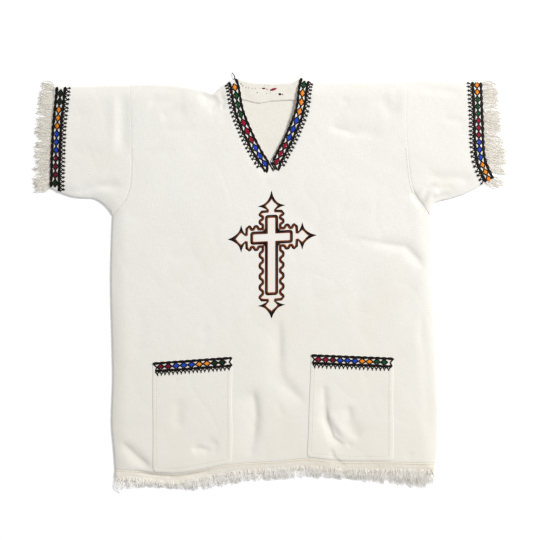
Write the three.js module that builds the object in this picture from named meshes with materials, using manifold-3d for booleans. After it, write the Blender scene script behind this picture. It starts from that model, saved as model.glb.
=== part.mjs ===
// Traditional cotton shirt, laid flat on its back: a handwoven pull-on shirt with a V neck, two short
// straight sleeves with an embroidered band and a long fringe, two patch pockets, a fringed hem band
// and an embroidered cross on the chest. Front and back are separate panels that lie on each other.
// Millimetres, +Z up, +Y towards the neck, +X to the right as seen from above. "left" and "right" are
// the sides as seen from above, so the wearer's right arm goes into sleeve_left.
import * as THREE from 'three';
import { mergeVertices } from 'three/addons/utils/BufferGeometryUtils.js';
import Module from 'manifold-3d';

const { clamp, lerp, smoothstep, degToRad } = THREE.MathUtils;
const wasm = await Module();
wasm.setup();

// ---- cloth ----------------------------------------------------------------------------------
const CLOTH = 1.2; // a layer of cloth, as a wall
const SEAM = 0.3; // clearance between pieces that are sewn together
const LAYER_GAP = 0.4; // between front and back where they meet at an edge
const EDGE_TOP = 2 * CLOTH + LAYER_GAP; // height of the front where it meets the back
const STITCHING = 0.8; // thickness of dense embroidery
const CUT_HEIGHT = 30; // taller than anything on the shirt
const LOFT = 3.5; // how far the front stands up over the air inside the shirt
const LOFT_RUN = 30; // distance from the outline over which it rises
const NECK_LOFT = 0.4; // share of the loft that is left at the edge of the V
const NECK_RUN = 35; // distance from the V over which the loft comes back

// ---- levels: heights on the body before hem and shoulders are bent to their real lines ------
const HEM = -358; // seam between body and hem band
const HEM_BAND = 22; // depth of the hem band
const UNDERARM = 133;
const APEX = 234; // lowest point of the V
const SHOULDER_LEVEL = 383;
const HEM_BEND = { full: -160, none: 60 }; // levels between which the bend of the hem fades out
const SHOULDER_BEND = { none: 330, full: 383 };

// ---- outline tables -------------------------------------------------------------------------
const SIDES = [ // side seams of the body
  { y: -389, left: -293.5, right: 310 },
  { y: -324, left: -298, right: 318 },
  { y: -269, left: -302.5, right: 319 },
  { y: -186, left: -300, right: 316 },
  { y: -129, left: -301, right: 313.5 },
  { y: 10, left: -304, right: 308 },
  { y: 99, left: -302, right: 306.5 },
  { y: UNDERARM, left: -300.5, right: 303 },
];
const ARMHOLES = [
  { y: UNDERARM, left: -300.5, right: 303 },
  { y: 152.5, left: -284, right: 289 },
  { y: 166, left: -274.5, right: 278.5 },
  { y: 192, left: -267, right: 268 },
  { y: 261, left: -264, right: 260 },
  { y: 322, left: -265, right: 257.5 },
  { y: SHOULDER_LEVEL, left: -267, right: 259.5 },
];
const NECK = [ // edges of the V
  { y: APEX, left: 0, right: 0 },
  { y: 253, left: -13, right: 10 },
  { y: 292, left: -33, right: 29.5 },
  { y: 333, left: -49.5, right: 45.5 },
  { y: 372, left: -59, right: 53 },
  { y: SHOULDER_LEVEL, left: -64, right: 57 },
];
const SHOULDERS = [ // fold line from cuff to cuff
  { x: -420, y: 379 }, { x: -339, y: 380 }, { x: -267, y: 381.7 }, { x: -208, y: 381.7 },
  { x: -157, y: 376.7 }, { x: -124.5, y: 370 }, { x: -109, y: 365.3 }, { x: -98, y: 374.8 },
  { x: -86.5, y: 383.7 }, { x: -65.6, y: 394.3 }, { x: 57, y: 395.7 }, { x: 82.7, y: 387 },
  { x: 132, y: 386 }, { x: 183, y: 385.8 }, { x: 259, y: 388.8 }, { x: 339, y: 391.9 },
  { x: 379, y: 389 }, { x: 430, y: 386 },
];
const BACK_NECK = [ // neckline of the back
  { x: -64, y: 394 }, { x: -50, y: 388.5 }, { x: -30, y: 385 }, { x: -5, y: 383.5 },
  { x: 25, y: 384 }, { x: 45, y: 387.5 }, { x: 57, y: 395.4 },
];
const FACING_HEM = [ // lower edge of the facing inside the back neck
  { x: -56, y: 354 }, { x: -24, y: 346.5 }, { x: 4, y: 350 }, { x: 55, y: 352.5 },
];
const HEM_SEAM = [
  { x: -302, y: -350 }, { x: -248, y: -352.8 }, { x: -210, y: -357.6 }, { x: -177, y: -358.6 },
  { x: -133, y: -351.4 }, { x: -72, y: -340 }, { x: -37, y: -337 }, { x: 16, y: -334 },
  { x: 69, y: -329 }, { x: 132, y: -335 }, { x: 231, y: -336 }, { x: 320, y: -338 },
];
const UNDERARM_SEAMS = {
  left: [
    { x: -424, y: 188 }, { x: -401.6, y: 177 }, { x: -377, y: 168.3 }, { x: -353, y: 165.8 },
    { x: -335, y: 164.6 }, { x: -316.7, y: 153.7 }, { x: -306, y: 142 }, { x: -300.5, y: UNDERARM },
  ],
  right: [
    { x: 303, y: UNDERARM }, { x: 309, y: 152 }, { x: 322, y: 160 }, { x: 339, y: 164 },
    { x: 372, y: 175 }, { x: 404, y: 191 }, { x: 430, y: 205 },
  ],
};
const CUFFS = {
  left: [{ y: 180, x: -420.5 }, { y: 284, x: -417 }, { y: 390, x: -411 }],
  right: [
    { y: 200, x: 428 }, { y: 224, x: 416 }, { y: 248, x: 408.5 }, { y: 316, x: 405.5 },
    { y: 390, x: 402.4 },
  ],
};
const CUFF_ENDS = { left: { low: 187, high: 379.2 }, right: { low: 203, high: 387.4 } };

// ---- folds: soft troughs (negative) and ridges that the laid cloth holds --------------------
const FOLD_ENDS = [-0.05, 0.25]; // shares of a fold's length over which it fades in and out
const FOLDS = [
  { from: [-282, 372], via: [-280, 310], to: [-284, 240], width: 13, height: -1.3 },
  { from: [-297, 372], via: [-296, 310], to: [-297, 250], width: 9, height: 0.8 },
  { from: [-372, 183], via: [-330, 190], to: [-282, 190], width: 10, height: -1.3 },
  { from: [-159, 366], via: [-190, 352], to: [-236, 347], width: 12, height: -1.3 },
  { from: [-211, 318], via: [-186, 328], to: [-158, 334], width: 12, height: -1.1 },
  { from: [-122, 362], via: [-108, 350], to: [-94, 322], width: 10, height: -1.4 },
  { from: [110, 303], via: [150, 292], to: [215, 285], width: 13, height: -1.2 },
  { from: [206, 360], via: [222, 340], to: [232, 316], width: 12, height: -1.1 },
  { from: [276, 377], via: [320, 371], to: [368, 364], width: 10, height: -1 },
  { from: [293, 206], via: [340, 204], to: [388, 200], width: 10, height: -1.3 },
  { from: [270, 176], via: [281, 164], to: [293, 148], width: 9, height: -1.4 },
  { from: [194, 84], via: [258, 74], to: [295, 30], width: 12, height: -1.5 },
  { from: [286, -45], via: [296, -170], to: [303, -305], width: 11, height: -1 },
  { from: [-34, -190], via: [-27, -254], to: [-38, -324], width: 13, height: -2 },
  { from: [13, -60], via: [18, -172], to: [66, -228], width: 12, height: -1.6 },
  { from: [103, -186], via: [104, -252], to: [140, -304], width: 14, height: -2.4 },
  { from: [144, -226], via: [150, -262], to: [172, -292], width: 12, height: -1.4 },
  { from: [-176, -215], via: [-176, -245], to: [-174, -275], width: 11, height: -1 },
  { from: [-150, -312], via: [-124, -309], to: [-104, -290], width: 11, height: -1.2 },
  { from: [-281, -296], via: [-254, -318], to: [-224, -349], width: 13, height: -2 },
  { from: [-290, -352], via: [-222, -362], to: [-150, -356], width: 9, height: -1.5 },
];

// ---- pieces that lie on the front -----------------------------------------------------------
const POCKETS = {
  left: { left: -224, right: -73, footLeft: -223, topLeft: -145.8, topRight: -134.8 },
  right: { left: 77, right: 233, footLeft: 69.5, topLeft: -130, topRight: -136.5 },
};
const POCKET_FOOT = 2.5; // from the hem seam to the pocket's lower edge
const POCKET_CORNER = 7; // radius of its lower corners
const BAND = { // beyond: past a panel's edge; tooth: shares of the pitch at its feet and its point
  width: 20, picot: 7.5, pitch: 7.5, inset: 0.8, beyond: 6, tooth: [0.2, 0.5, 0.8], stations: 8,
};
const NECK_BAND = { ...BAND, picot: 8 };
const SLEEVE_BAND = { ...BAND, width: 21, picot: 8.7 };
const NECK_TOES = { left: [[-5, 229.5], [-7.6, 212]], right: [[5.5, 229], [14, 218]] };

const CROSS = { x: 2, y: 91, rise: 0.049 }; // rise: of the side arms, for each unit to the right
const CROSS_ARMS = [ // from crossing to finial, the finial's length, and scallops a side
  { turn: 0, reach: 47.8, tip: 38.5, scallops: 2 },
  { turn: 90, reach: 49.3, tip: 40, scallops: 2 },
  { turn: 180, reach: 47.2, tip: 36, scallops: 2 },
  { turn: 270, reach: 118.5, tip: 36, scallops: 5 },
];
const BORDER = { outer: 21.6, inner: 16.9, wave: 2.8, peakBack: 4, cornerRun: 1, steps: 4 };
const FINIAL = { // half outlines from the plate to the tip: along the arm past the plate, and sideways
  outer: [
    { along: 2, side: 18 }, { along: 2.4, side: 9.5 }, { along: 11.4, side: 25.5 },
    { along: 15.5, side: 13 }, { along: 25, side: 5 },
  ],
  inner: [
    { along: -2.6, side: 15 }, { along: -1.5, side: 4.6 }, { along: 1.5, side: 4.6 },
    { along: 10.6, side: 12.2 }, { along: 15.5, side: 7 },
  ],
};
const TIP = { outer: 1, inner: 0.56 }; // shares of the finial's length
const HEART = {
  stem: 12.6, arm: 39.5, head: 43, foot: 110.5, line: 5.8, corners: { outer: 4, inner: 1.2 },
};

// ---- fringe ---------------------------------------------------------------------------------
const FRINGE_STRIP = { depth: 3, low: 0.3, high: 2.5 };
const STRAND = { root: 2.3, tip: 0.8, height: 1.1, sink: 2, floor: 0.3, inset: 0.1, bow: 0.1 };
const UNEVEN = { tipHeight: 0.4, length: 1.5, sideways: 2, tassel: 1 }; // of the strands' tips
const HEM_TIPS = [
  { x: -300, y: -397 }, { x: -259, y: -386 }, { x: -204, y: -386 }, { x: -148, y: -391 },
  { x: -92, y: -383 }, { x: -37, y: -373 }, { x: 22, y: -370 }, { x: 77, y: -366 },
  { x: 119, y: -368 }, { x: 175, y: -373 }, { x: 231, y: -379 }, { x: 290, y: -386 },
  { x: 318, y: -380 },
];
const SLEEVE_TIPS = {
  left: [
    { y: 177, x: -455 }, { y: 213, x: -455 }, { y: 303, x: -449 }, { y: 391.5, x: -441 },
  ],
  right: [
    { y: 196, x: 455 }, { y: 223.5, x: 455.5 }, { y: 270, x: 447 }, { y: 316, x: 444 },
    { y: 392, x: 437 },
  ],
};
const STRANDS = { hem: 84, sleeve: 34, tassel: 6 };
const TASSEL = { share: 0.1, from: [441, 182], to: [454, 193] }; // share of the edge; row of its tips

// ---- resolution -----------------------------------------------------------------------------
const COLUMNS = 13; // on each half of the front
const SLEEVE_COLUMNS = 7;
const FOLD_STEPS = 3; // facets round the fold on top of a sleeve
const EASE = 0.07; // share of an edge over which a band evens out the edge's direction
const MERGE = 1e-5; // distance under which points are one point

// ---- helpers --------------------------------------------------------------------------------

// A column of a table at a place along its key column, on a smooth curve through its rows.
function read(table, key, column, at) {
  const last = table.length - 1;
  const place = clamp(at, table[0][key], table[last][key]);
  let row = 0;
  while (row < last - 1 && place > table[row + 1][key]) row += 1;
  const slope = (k) => {
    const before = table[Math.max(k - 1, 0)];
    const after = table[Math.min(k + 1, last)];
    return (after[column] - before[column]) / (after[key] - before[key]);
  };
  const run = table[row + 1][key] - table[row][key];
  const t = (place - table[row][key]) / run;
  const eased = t * t * (3 - 2 * t);
  const bend = slope(row) * t * (1 - t) ** 2 - slope(row + 1) * t * t * (1 - t);
  return lerp(table[row][column], table[row + 1][column], eased) + bend * run;
}

// Evenly spaced values, with the first but not the last end.
function steps(from, to, count) {
  return Array.from({ length: count }, (_, i) => lerp(from, to, i / count));
}

// A repeatable unevenness between -1 and 1 for the strand or thread with this number.
function uneven(number, kind) {
  const wave = Math.sin(number * 12.9898 + kind * 78.233) * 43758.5453;
  return 2 * (wave - Math.floor(wave)) - 1;
}

// A closed wall between two matching sheets of points; its rim follows every edge with one face.
function shell(outer, inner, faces) {
  const sheet = outer.length;
  const index = [];
  const edges = new Set();
  for (const face of faces) {
    face.forEach((a, k) => edges.add(`${a},${face[(k + 1) % face.length]}`));
    for (let k = 2; k < face.length; k += 1) {
      index.push(face[0], face[k - 1], face[k]);
      index.push(face[0] + sheet, face[k] + sheet, face[k - 1] + sheet);
    }
  }
  for (const edge of edges) {
    const [a, b] = edge.split(',').map(Number);
    if (!edges.has(`${b},${a}`)) index.push(b, a, a + sheet, b, a + sheet, b + sheet);
  }
  const positions = [...outer, ...inner].flatMap((p) => [p.x, p.y, p.z]);
  const geometry = new THREE.BufferGeometry();
  geometry.setAttribute('position', new THREE.Float32BufferAttribute(positions, 3));
  geometry.setIndex(index);
  geometry.computeVertexNormals();
  return geometry;
}

// A wall over a plan, between two heights that may change from point to point.
function layer(plan, low, high) {
  const at = (height) => plan.points.map((p) => new THREE.Vector3(p.x, p.y, height(p)));
  return shell(at(high), at(low), plan.faces);
}

// A flat prism with this outline.
function prism(outline, low, high, hole) {
  const shape = new THREE.Shape(outline);
  if (hole) shape.holes.push(new THREE.Path(hole));
  const geometry = new THREE.ExtrudeGeometry(shape, { depth: high - low, bevelEnabled: false });
  return geometry.translate(0, 0, low);
}

function solid(geometry) {
  const bare = geometry.clone();
  bare.deleteAttribute('normal');
  bare.deleteAttribute('uv');
  const merged = mergeVertices(bare, MERGE);
  return new wasm.Manifold(new wasm.Mesh({
    numProp: 3,
    vertProperties: new Float32Array(merged.attributes.position.array),
    triVerts: new Uint32Array(merged.index.array),
  }));
}

function geometryOf(manifold) {
  const mesh = manifold.getMesh();
  const geometry = new THREE.BufferGeometry();
  geometry.setAttribute('position', new THREE.BufferAttribute(mesh.vertProperties, 3));
  geometry.setIndex(new THREE.BufferAttribute(mesh.triVerts, 1));
  geometry.computeVertexNormals();
  return geometry;
}

// Distance from a point to a chain of straight stretches, and how far along the chain that is.
function nearest(chain, x, y) {
  let best = { distance: Infinity, along: 0 };
  for (let k = 1; k < chain.length; k += 1) {
    const [ax, ay] = chain[k - 1];
    const [bx, by] = chain[k];
    const length = (bx - ax) ** 2 + (by - ay) ** 2;
    const t = clamp(((x - ax) * (bx - ax) + (y - ay) * (by - ay)) / length, 0, 1);
    const distance = Math.hypot(x - lerp(ax, bx, t), y - lerp(ay, by, t));
    if (distance < best.distance) best = { distance, along: (k - 1 + t) / (chain.length - 1) };
  }
  return best;
}

// ---- plan of the body and sleeves -----------------------------------------------------------

const shoulderY = (x) => read(SHOULDERS, 'x', 'y', x);
const hemSeamY = (x) => read(HEM_SEAM, 'x', 'y', x);

// Height in plan of a level at x, with the hem and the shoulders bent to their real lines.
function bent(level, x) {
  const lift = hemSeamY(x) - HEM;
  const rise = shoulderY(x) - SHOULDER_LEVEL;
  const low = 1 - smoothstep(level, HEM_BEND.full, HEM_BEND.none);
  return level + lift * low + rise * smoothstep(level, SHOULDER_BEND.none, SHOULDER_BEND.full);
}

// A point of the body: across runs from 0 on the side seam or armhole to 1 at the centre or V edge.
function bodyPoint(side, across, level) {
  const outerX = read(level > UNDERARM ? ARMHOLES : SIDES, 'y', side, level);
  const innerX = level > APEX ? read(NECK, 'y', side, level) : 0;
  const x = lerp(outerX, innerX, across);
  return new THREE.Vector2(x, bent(level, x));
}

// A point of a sleeve, blended from its four edges: along from armhole to cuff, level as on the body.
function sleevePoint(side, along, level) {
  const up = (level - UNDERARM) / (SHOULDER_LEVEL - UNDERARM);
  const gap = side === 'left' ? -SEAM : SEAM;
  const armhole = (at) => bodyPoint(side, 0, at).add(new THREE.Vector2(gap, 0));
  const cuff = (v) => {
    const y = lerp(CUFF_ENDS[side].low, CUFF_ENDS[side].high, v);
    return new THREE.Vector2(read(CUFFS[side], 'y', 'x', y), y);
  };
  const [low, high] = [armhole(UNDERARM), armhole(SHOULDER_LEVEL)];
  const [cuffLow, cuffHigh] = [cuff(0), cuff(1)];
  const underarmX = lerp(low.x, cuffLow.x, along);
  const shoulderX = lerp(high.x, cuffHigh.x, along);
  const underarm = new THREE.Vector2(underarmX, read(UNDERARM_SEAMS[side], 'x', 'y', underarmX));
  const shoulder = new THREE.Vector2(shoulderX, shoulderY(shoulderX));
  const across = armhole(level).lerp(cuff(up), along);
  const lengthwise = underarm.lerp(shoulder, up);
  const corners = low.lerp(cuffLow, along).lerp(high.lerp(cuffHigh, along), up);
  return across.add(lengthwise).sub(corners);
}

const BODY_LEVELS = [...steps(HEM, UNDERARM, 21), ...steps(UNDERARM, APEX, 5),
  ...steps(APEX, SHOULDER_LEVEL, 8), SHOULDER_LEVEL];
const SLEEVE_LEVELS = BODY_LEVELS.filter((level) => level >= UNDERARM);
const HEM_LEVELS = [HEM - HEM_BAND, HEM - HEM_BAND / 2, HEM - SEAM];
const SLEEVE_STEPS = [...steps(0, 1, SLEEVE_COLUMNS), 1];
const SIDE_NAMES = ['left', 'right'];

// Rows of the body between two side seams, split in two above the apex of the V.
function bodyPlan(levels) {
  const points = [];
  const add = (side, across, level) => points.push(bodyPoint(side, across, level)) - 1;
  const rows = levels.map((level) => {
    const left = steps(0, 1, COLUMNS).map((across) => add('left', across, level));
    const middle = add('left', 1, level);
    const start = level > APEX ? add('right', 1, level) : middle;
    const right = steps(1, 0, COLUMNS).slice(1).map((across) => add('right', across, level));
    return { left: [...left, middle], right: [start, ...right, add('right', 0, level)] };
  });
  const faces = rows.slice(1).flatMap((row, k) => SIDE_NAMES.flatMap((side) => (
    row[side].slice(1).map((_, i) => (
      [rows[k][side][i], rows[k][side][i + 1], row[side][i + 1], row[side][i]])))));
  return { points, faces };
}

// Rows of a sleeve's upper layer, wound to face up on both sides.
function sleevePlan(side) {
  const columns = SLEEVE_STEPS.length;
  const points = SLEEVE_LEVELS.flatMap((level) => (
    SLEEVE_STEPS.map((along) => sleevePoint(side, along, level))));
  const faces = [];
  for (let row = 1; row < SLEEVE_LEVELS.length; row += 1) {
    for (let i = 1; i < columns; i += 1) {
      const [a, b] = [(row - 1) * columns + i, row * columns + i];
      faces.push(side === 'right' ? [a - 1, a, b, b - 1] : [a, a - 1, b - 1, b]);
    }
  }
  return { points, faces };
}

// ---- height of the front and the upper sleeves ----------------------------------------------

const chainOf = (points) => points.map((p) => [p.x, p.y]);
const OUTLINE = SIDE_NAMES.map((side) => chainOf([
  ...BODY_LEVELS.filter((level) => level < UNDERARM).map((level) => bodyPoint(side, 0, level)),
  ...SLEEVE_STEPS.map((along) => sleevePoint(side, along, UNDERARM)),
  ...SLEEVE_STEPS.toReversed().map((along) => sleevePoint(side, along, SHOULDER_LEVEL)),
  ...steps(0, 1, COLUMNS).map((across) => bodyPoint(side, across, SHOULDER_LEVEL)),
  bodyPoint(side, 1, SHOULDER_LEVEL),
]));
OUTLINE.push(chainOf([
  ...steps(0, 1, COLUMNS).map((across) => bodyPoint('left', across, HEM - HEM_BAND)),
  ...steps(1, 0, COLUMNS).map((across) => bodyPoint('right', across, HEM - HEM_BAND)),
  bodyPoint('right', 0, HEM - HEM_BAND),
]));
const V_EDGE = chainOf([
  ...NECK.toReversed().map((row) => bodyPoint('left', 1, row.y)),
  ...NECK.slice(1).map((row) => bodyPoint('right', 1, row.y)),
]);

// Height of the front over the floor: thin at the outline, lofted inside it, with the folds on top.
function top(point) {
  const inside = Math.min(...OUTLINE.map((chain) => nearest(chain, point.x, point.y).distance));
  const rise = 1 - (1 - clamp(inside / LOFT_RUN, 0, 1)) ** 2;
  const fromNeck = nearest(V_EDGE, point.x, point.y).distance;
  const loft = LOFT * lerp(NECK_LOFT, 1, smoothstep(fromNeck, 0, NECK_RUN));
  const folds = FOLDS.reduce((sum, fold) => {
    const { distance, along } = nearest([fold.from, fold.via, fold.to], point.x, point.y);
    const ends = smoothstep(Math.min(along, 1 - along), ...FOLD_ENDS);
    return sum + fold.height * ends * Math.exp(-((distance / fold.width) ** 2));
  }, 0);
  return Math.max(EDGE_TOP, EDGE_TOP + (loft + folds) * rise);
}

const raised = (by) => (point) => top(point) + by;

// ---- pieces ---------------------------------------------------------------------------------

const FRONT_PLAN = bodyPlan(BODY_LEVELS);
const SLEEVE_PLANS = { left: sleevePlan('left'), right: sleevePlan('right') };

const frontPanel = () => layer(FRONT_PLAN, raised(-CLOTH), raised(0));

function backPanel() {
  const side = (name) => BODY_LEVELS.map((level) => bodyPoint(name, 0, level));
  const row = (name, level) => steps(0, 1, COLUMNS).slice(1)
    .map((across) => bodyPoint(name, across, level));
  const neck = BACK_NECK.map((p) => new THREE.Vector2(p.x, p.y));
  const outline = [
    ...row('left', HEM), bodyPoint('left', 1, HEM), ...row('right', HEM).reverse(),
    ...side('right'), ...row('right', SHOULDER_LEVEL), ...neck.reverse(),
    ...row('left', SHOULDER_LEVEL).reverse(), ...side('left').reverse(),
  ];
  return prism(outline, 0, CLOTH);
}

// Lies on the back inside the V, just clear of its edges.
function neckFacing() {
  const edge = (side) => NECK.filter((row) => row.y > FACING_HEM[0].y)
    .map((row) => bodyPoint(side, 1, row.y));
  const clear = (point, by) => new THREE.Vector2(point.x + by, point.y);
  const hem = FACING_HEM.map((p) => new THREE.Vector2(p.x, p.y));
  const outline = [
    ...hem.slice(1, -1),
    clear(new THREE.Vector2(read(NECK, 'y', 'right', hem.at(-1).y), hem.at(-1).y), -2 * SEAM),
    ...edge('right').slice(0, -1).map((p) => clear(p, -2 * SEAM)),
    ...BACK_NECK.slice(1, -1).map((p) => new THREE.Vector2(p.x, p.y)).reverse(),
    ...edge('left').slice(0, -1).reverse().map((p) => clear(p, 2 * SEAM)),
    clear(new THREE.Vector2(read(NECK, 'y', 'left', hem[0].y), hem[0].y), 2 * SEAM),
  ];
  return prism(outline, CLOTH + SEAM, 2 * CLOTH + SEAM);
}

// A tube laid flat: the lower layer on the floor, the fold on top, and the seam open under the arm.
function sleeve(side) {
  const plan = SLEEVE_PLANS[side];
  const columns = SLEEVE_STEPS.length;
  const bend = EDGE_TOP / 2;
  const rowOf = (k) => plan.points.slice(k * columns, (k + 1) * columns);
  const lastRow = rowOf(SLEEVE_LEVELS.length - 1);
  const [outer, inner] = [[], []];
  const add = (x, y, high, low) => {
    outer.push(new THREE.Vector3(x, y, high));
    inner.push(new THREE.Vector3(x, y, low));
  };
  for (let k = 0; k < SLEEVE_LEVELS.length - 1; k += 1) {
    rowOf(k).forEach((p) => add(p.x, p.y, top(p), top(p) - CLOTH));
  }
  for (let k = 0; k <= FOLD_STEPS; k += 1) {
    const angle = Math.PI * (0.5 - k / FOLD_STEPS);
    const [out, up] = [Math.cos(angle), Math.sin(angle)];
    const core = bend - CLOTH;
    lastRow.forEach((p) => {
      outer.push(new THREE.Vector3(p.x, p.y - bend + bend * out, bend + bend * up));
      inner.push(new THREE.Vector3(p.x, p.y - bend + core * out, bend + core * up));
    });
  }
  for (let k = SLEEVE_LEVELS.length - 2; k >= 0; k -= 1) {
    rowOf(k).forEach((p) => add(p.x, p.y, 0, CLOTH));
  }
  const faces = [];
  const rows = outer.length / columns;
  for (let row = 1; row < rows; row += 1) {
    for (let i = 1; i < columns; i += 1) {
      const [a, b] = [(row - 1) * columns + i, row * columns + i];
      faces.push(side === 'right' ? [a - 1, a, b, b - 1] : [a, a - 1, b - 1, b]);
    }
  }
  return shell(outer, inner, faces);
}

function hemBandBack() {
  const row = (level) => [
    ...steps(0, 1, COLUMNS).map((across) => bodyPoint('left', across, level)),
    ...steps(1, 0, COLUMNS).map((across) => bodyPoint('right', across, level)),
    bodyPoint('right', 0, level),
  ];
  return prism([...row(HEM_LEVELS[0]), ...row(HEM_LEVELS.at(-1)).reverse()], 0, CLOTH);
}

// A piece that lies on a panel: its outline, cut from the panel's own surface moved out.
function laidOn(plan, outline, over, thickness, hole) {
  const cover = solid(layer(plan, raised(over), raised(over + thickness)));
  return geometryOf(cover.intersect(solid(prism(outline, 0, CUT_HEIGHT, hole))));
}

function pocket(side) {
  const { left, right, footLeft, topLeft, topRight } = POCKETS[side];
  const foot = (x) => hemSeamY(x) + POCKET_FOOT;
  const corner = (x, inward) => [0, 0.5, 1].map((t) => {
    const angle = t * Math.PI / 2;
    return new THREE.Vector2(x + inward * POCKET_CORNER * (1 - Math.cos(angle)),
      foot(x) + POCKET_CORNER * (1 - Math.sin(angle)));
  });
  const bottom = steps(footLeft, right, 6).slice(1).map((x) => new THREE.Vector2(x, foot(x)));
  const outline = [
    new THREE.Vector2(left, topLeft), ...corner(footLeft, 1), ...bottom,
    ...corner(right, -1).reverse(), new THREE.Vector2(right, topRight),
  ];
  return laidOn(FRONT_PLAN, outline, SEAM, CLOTH);
}

// Outline of an embroidered band: along its plain edge, round its toe, back along its picots.
// The picots are on the left of the edge's direction when turn is 1, on the right when it is -1.
function bandOutline(edge, turn, { width, picot, pitch, inset, tooth, stations }, toe = []) {
  const curve = new THREE.SplineCurve(edge);
  const beside = (t, away) => {
    const [before, after] = [Math.max(t - EASE, 0), Math.min(t + EASE, 1)];
    const tangent = curve.getPointAt(after).sub(curve.getPointAt(before)).normalize();
    const normal = new THREE.Vector2(-tangent.y, tangent.x).multiplyScalar(turn * away);
    return curve.getPointAt(t).add(normal);
  };
  const teeth = Math.round(curve.getLength() / pitch);
  const back = [];
  for (let k = teeth - 1; k >= 0; k -= 1) {
    const [before, point, after] = tooth.map((share) => (k + share) / teeth);
    back.push(beside(after, width), beside(point, width + picot), beside(before, width));
  }
  const along = [...steps(0, 1, stations), 1].map((t) => beside(t, inset));
  return [...along, ...toe.map(([x, y]) => new THREE.Vector2(x, y)), ...back];
}

function neckBand(side) {
  const edge = NECK.toReversed().map((row) => bodyPoint(side, 1, row.y));
  const beyond = edge[0].clone().multiplyScalar(2).sub(edge[1]);
  const outline = bandOutline([beyond, ...edge], side === 'left' ? -1 : 1, NECK_BAND, NECK_TOES[side]);
  return laidOn(FRONT_PLAN, outline, SEAM, STITCHING);
}

function sleeveBand(side) {
  const { low, high } = CUFF_ENDS[side];
  const ends = [high + BAND.beyond, low - BAND.beyond];
  const edge = [ends[0], ...steps(high, low, 5).slice(1), low, ends[1]].map((y) => (
    new THREE.Vector2(read(CUFFS[side], 'y', 'x', y), y)));
  const outline = bandOutline(edge, side === 'left' ? 1 : -1, SLEEVE_BAND);
  return laidOn(SLEEVE_PLANS[side], outline, SEAM, STITCHING);
}

function pocketBand(side) {
  const { left, right, topLeft, topRight } = POCKETS[side];
  const middle = new THREE.Vector2((left + right) / 2, (topLeft + topRight) / 2);
  const edge = [new THREE.Vector2(left, topLeft), middle, new THREE.Vector2(right, topRight)];
  return laidOn(FRONT_PLAN, bandOutline(edge, -1, BAND), CLOTH + 2 * SEAM, STITCHING);
}

// From an arm's own directions to the shirt's, with the cross's slope to the right.
function onChest(along, side, turn) {
  const { x, y } = new THREE.Vector2(along, side).rotateAround(new THREE.Vector2(), degToRad(turn));
  return new THREE.Vector2(CROSS.x + x, CROSS.y + y + CROSS.rise * x);
}

// One edge of the border round the cross: scalloped arms, each with a barbed finial.
function borderEdge(edge) {
  const valley = BORDER[edge] - BORDER.wave;
  const firstValley = (BORDER.outer + BORDER.inner) / 2 - BORDER.wave;
  return CROSS_ARMS.flatMap(({ turn, reach, tip, scallops }) => {
    const lastPeak = reach - BORDER.peakBack;
    const pitch = (lastPeak - firstValley) / (scallops - 0.5);
    const half = [{ along: valley, side: valley }];
    const count = Math.round(BORDER.steps * (scallops - 0.5));
    for (let k = 0; k <= count; k += 1) {
      const along = lerp(Math.max(firstValley, valley + BORDER.cornerRun), lastPeak, k / count);
      const phase = 2 * Math.PI * (along - lastPeak) / pitch;
      half.push({ along, side: BORDER[edge] + BORDER.wave * Math.cos(phase) });
    }
    FINIAL[edge].forEach((p) => half.push({ along: reach + p.along, side: p.side }));
    const way = half.map((p) => onChest(p.along, -p.side, turn));
    const back = half.slice(1).reverse().map((p) => onChest(p.along, p.side, turn));
    return [...way, onChest(reach + TIP[edge] * tip, 0, turn), ...back];
  });
}

const crossBorder = () => (
  laidOn(FRONT_PLAN, borderEdge('outer'), SEAM, STITCHING, borderEdge('inner')));

// One edge of the plain cross inside the border, a line's width further in for its inner edge.
function heartEdge(edge) {
  const inward = edge === 'outer' ? 0 : HEART.line;
  const [stem, arm] = [HEART.stem - inward, HEART.arm - inward];
  const [head, foot] = [HEART.head - inward, -HEART.foot + inward];
  const soft = HEART.corners[edge];
  const corners = [
    [arm, -stem], [arm, stem], [stem, stem], [stem, head], [-stem, head], [-stem, stem],
    [-arm, stem], [-arm, -stem], [-stem, -stem], [-stem, foot], [stem, foot], [stem, -stem],
  ].map(([x, y]) => new THREE.Vector2(x, y));
  return corners.flatMap((corner, k) => {
    const before = corners.at(k - 1).clone().sub(corner).setLength(soft).add(corner);
    const after = corners[(k + 1) % corners.length].clone().sub(corner).setLength(soft).add(corner);
    const middle = before.clone().add(after).add(corner.clone().multiplyScalar(2)).divideScalar(4);
    return [before, middle, after].map((p) => onChest(p.x, p.y, 0));
  });
}

const crossHeart = () => (
  laidOn(FRONT_PLAN, heartEdge('outer'), SEAM, STITCHING, heartEdge('inner')));

// A three-sided strand that tapers from its root in the strip to its tip, with one soft bend.
function strand(root, tip, number) {
  const sideways = new THREE.Vector3(root.y - tip.y, tip.x - root.x, 0);
  const bow = sideways.clone().multiplyScalar(STRAND.bow * uneven(number, 1));
  const middle = root.clone().lerp(tip, 0.5).add(bow);
  const stations = [[root, STRAND.root], [middle, (STRAND.root + STRAND.tip) / 2], [tip, STRAND.tip]];
  const across = sideways.normalize();
  const points = stations.flatMap(([centre, width]) => {
    const high = STRAND.height * width / STRAND.root;
    return [
      centre.clone().addScaledVector(across, width / 2),
      centre.clone().addScaledVector(across, -width / 2),
      centre.clone().add(new THREE.Vector3(0, 0, high)),
    ];
  });
  const index = [0, 1, 2, 6, 8, 7];
  for (let ring = 0; ring < 6; ring += 3) {
    for (let k = 0; k < 3; k += 1) {
      const [a, b] = [ring + k, ring + (k + 1) % 3];
      index.push(a, b + 3, b, a, a + 3, b + 3);
    }
  }
  const geometry = new THREE.BufferGeometry().setFromPoints(points);
  geometry.setIndex(index);
  return solid(geometry);
}

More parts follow.
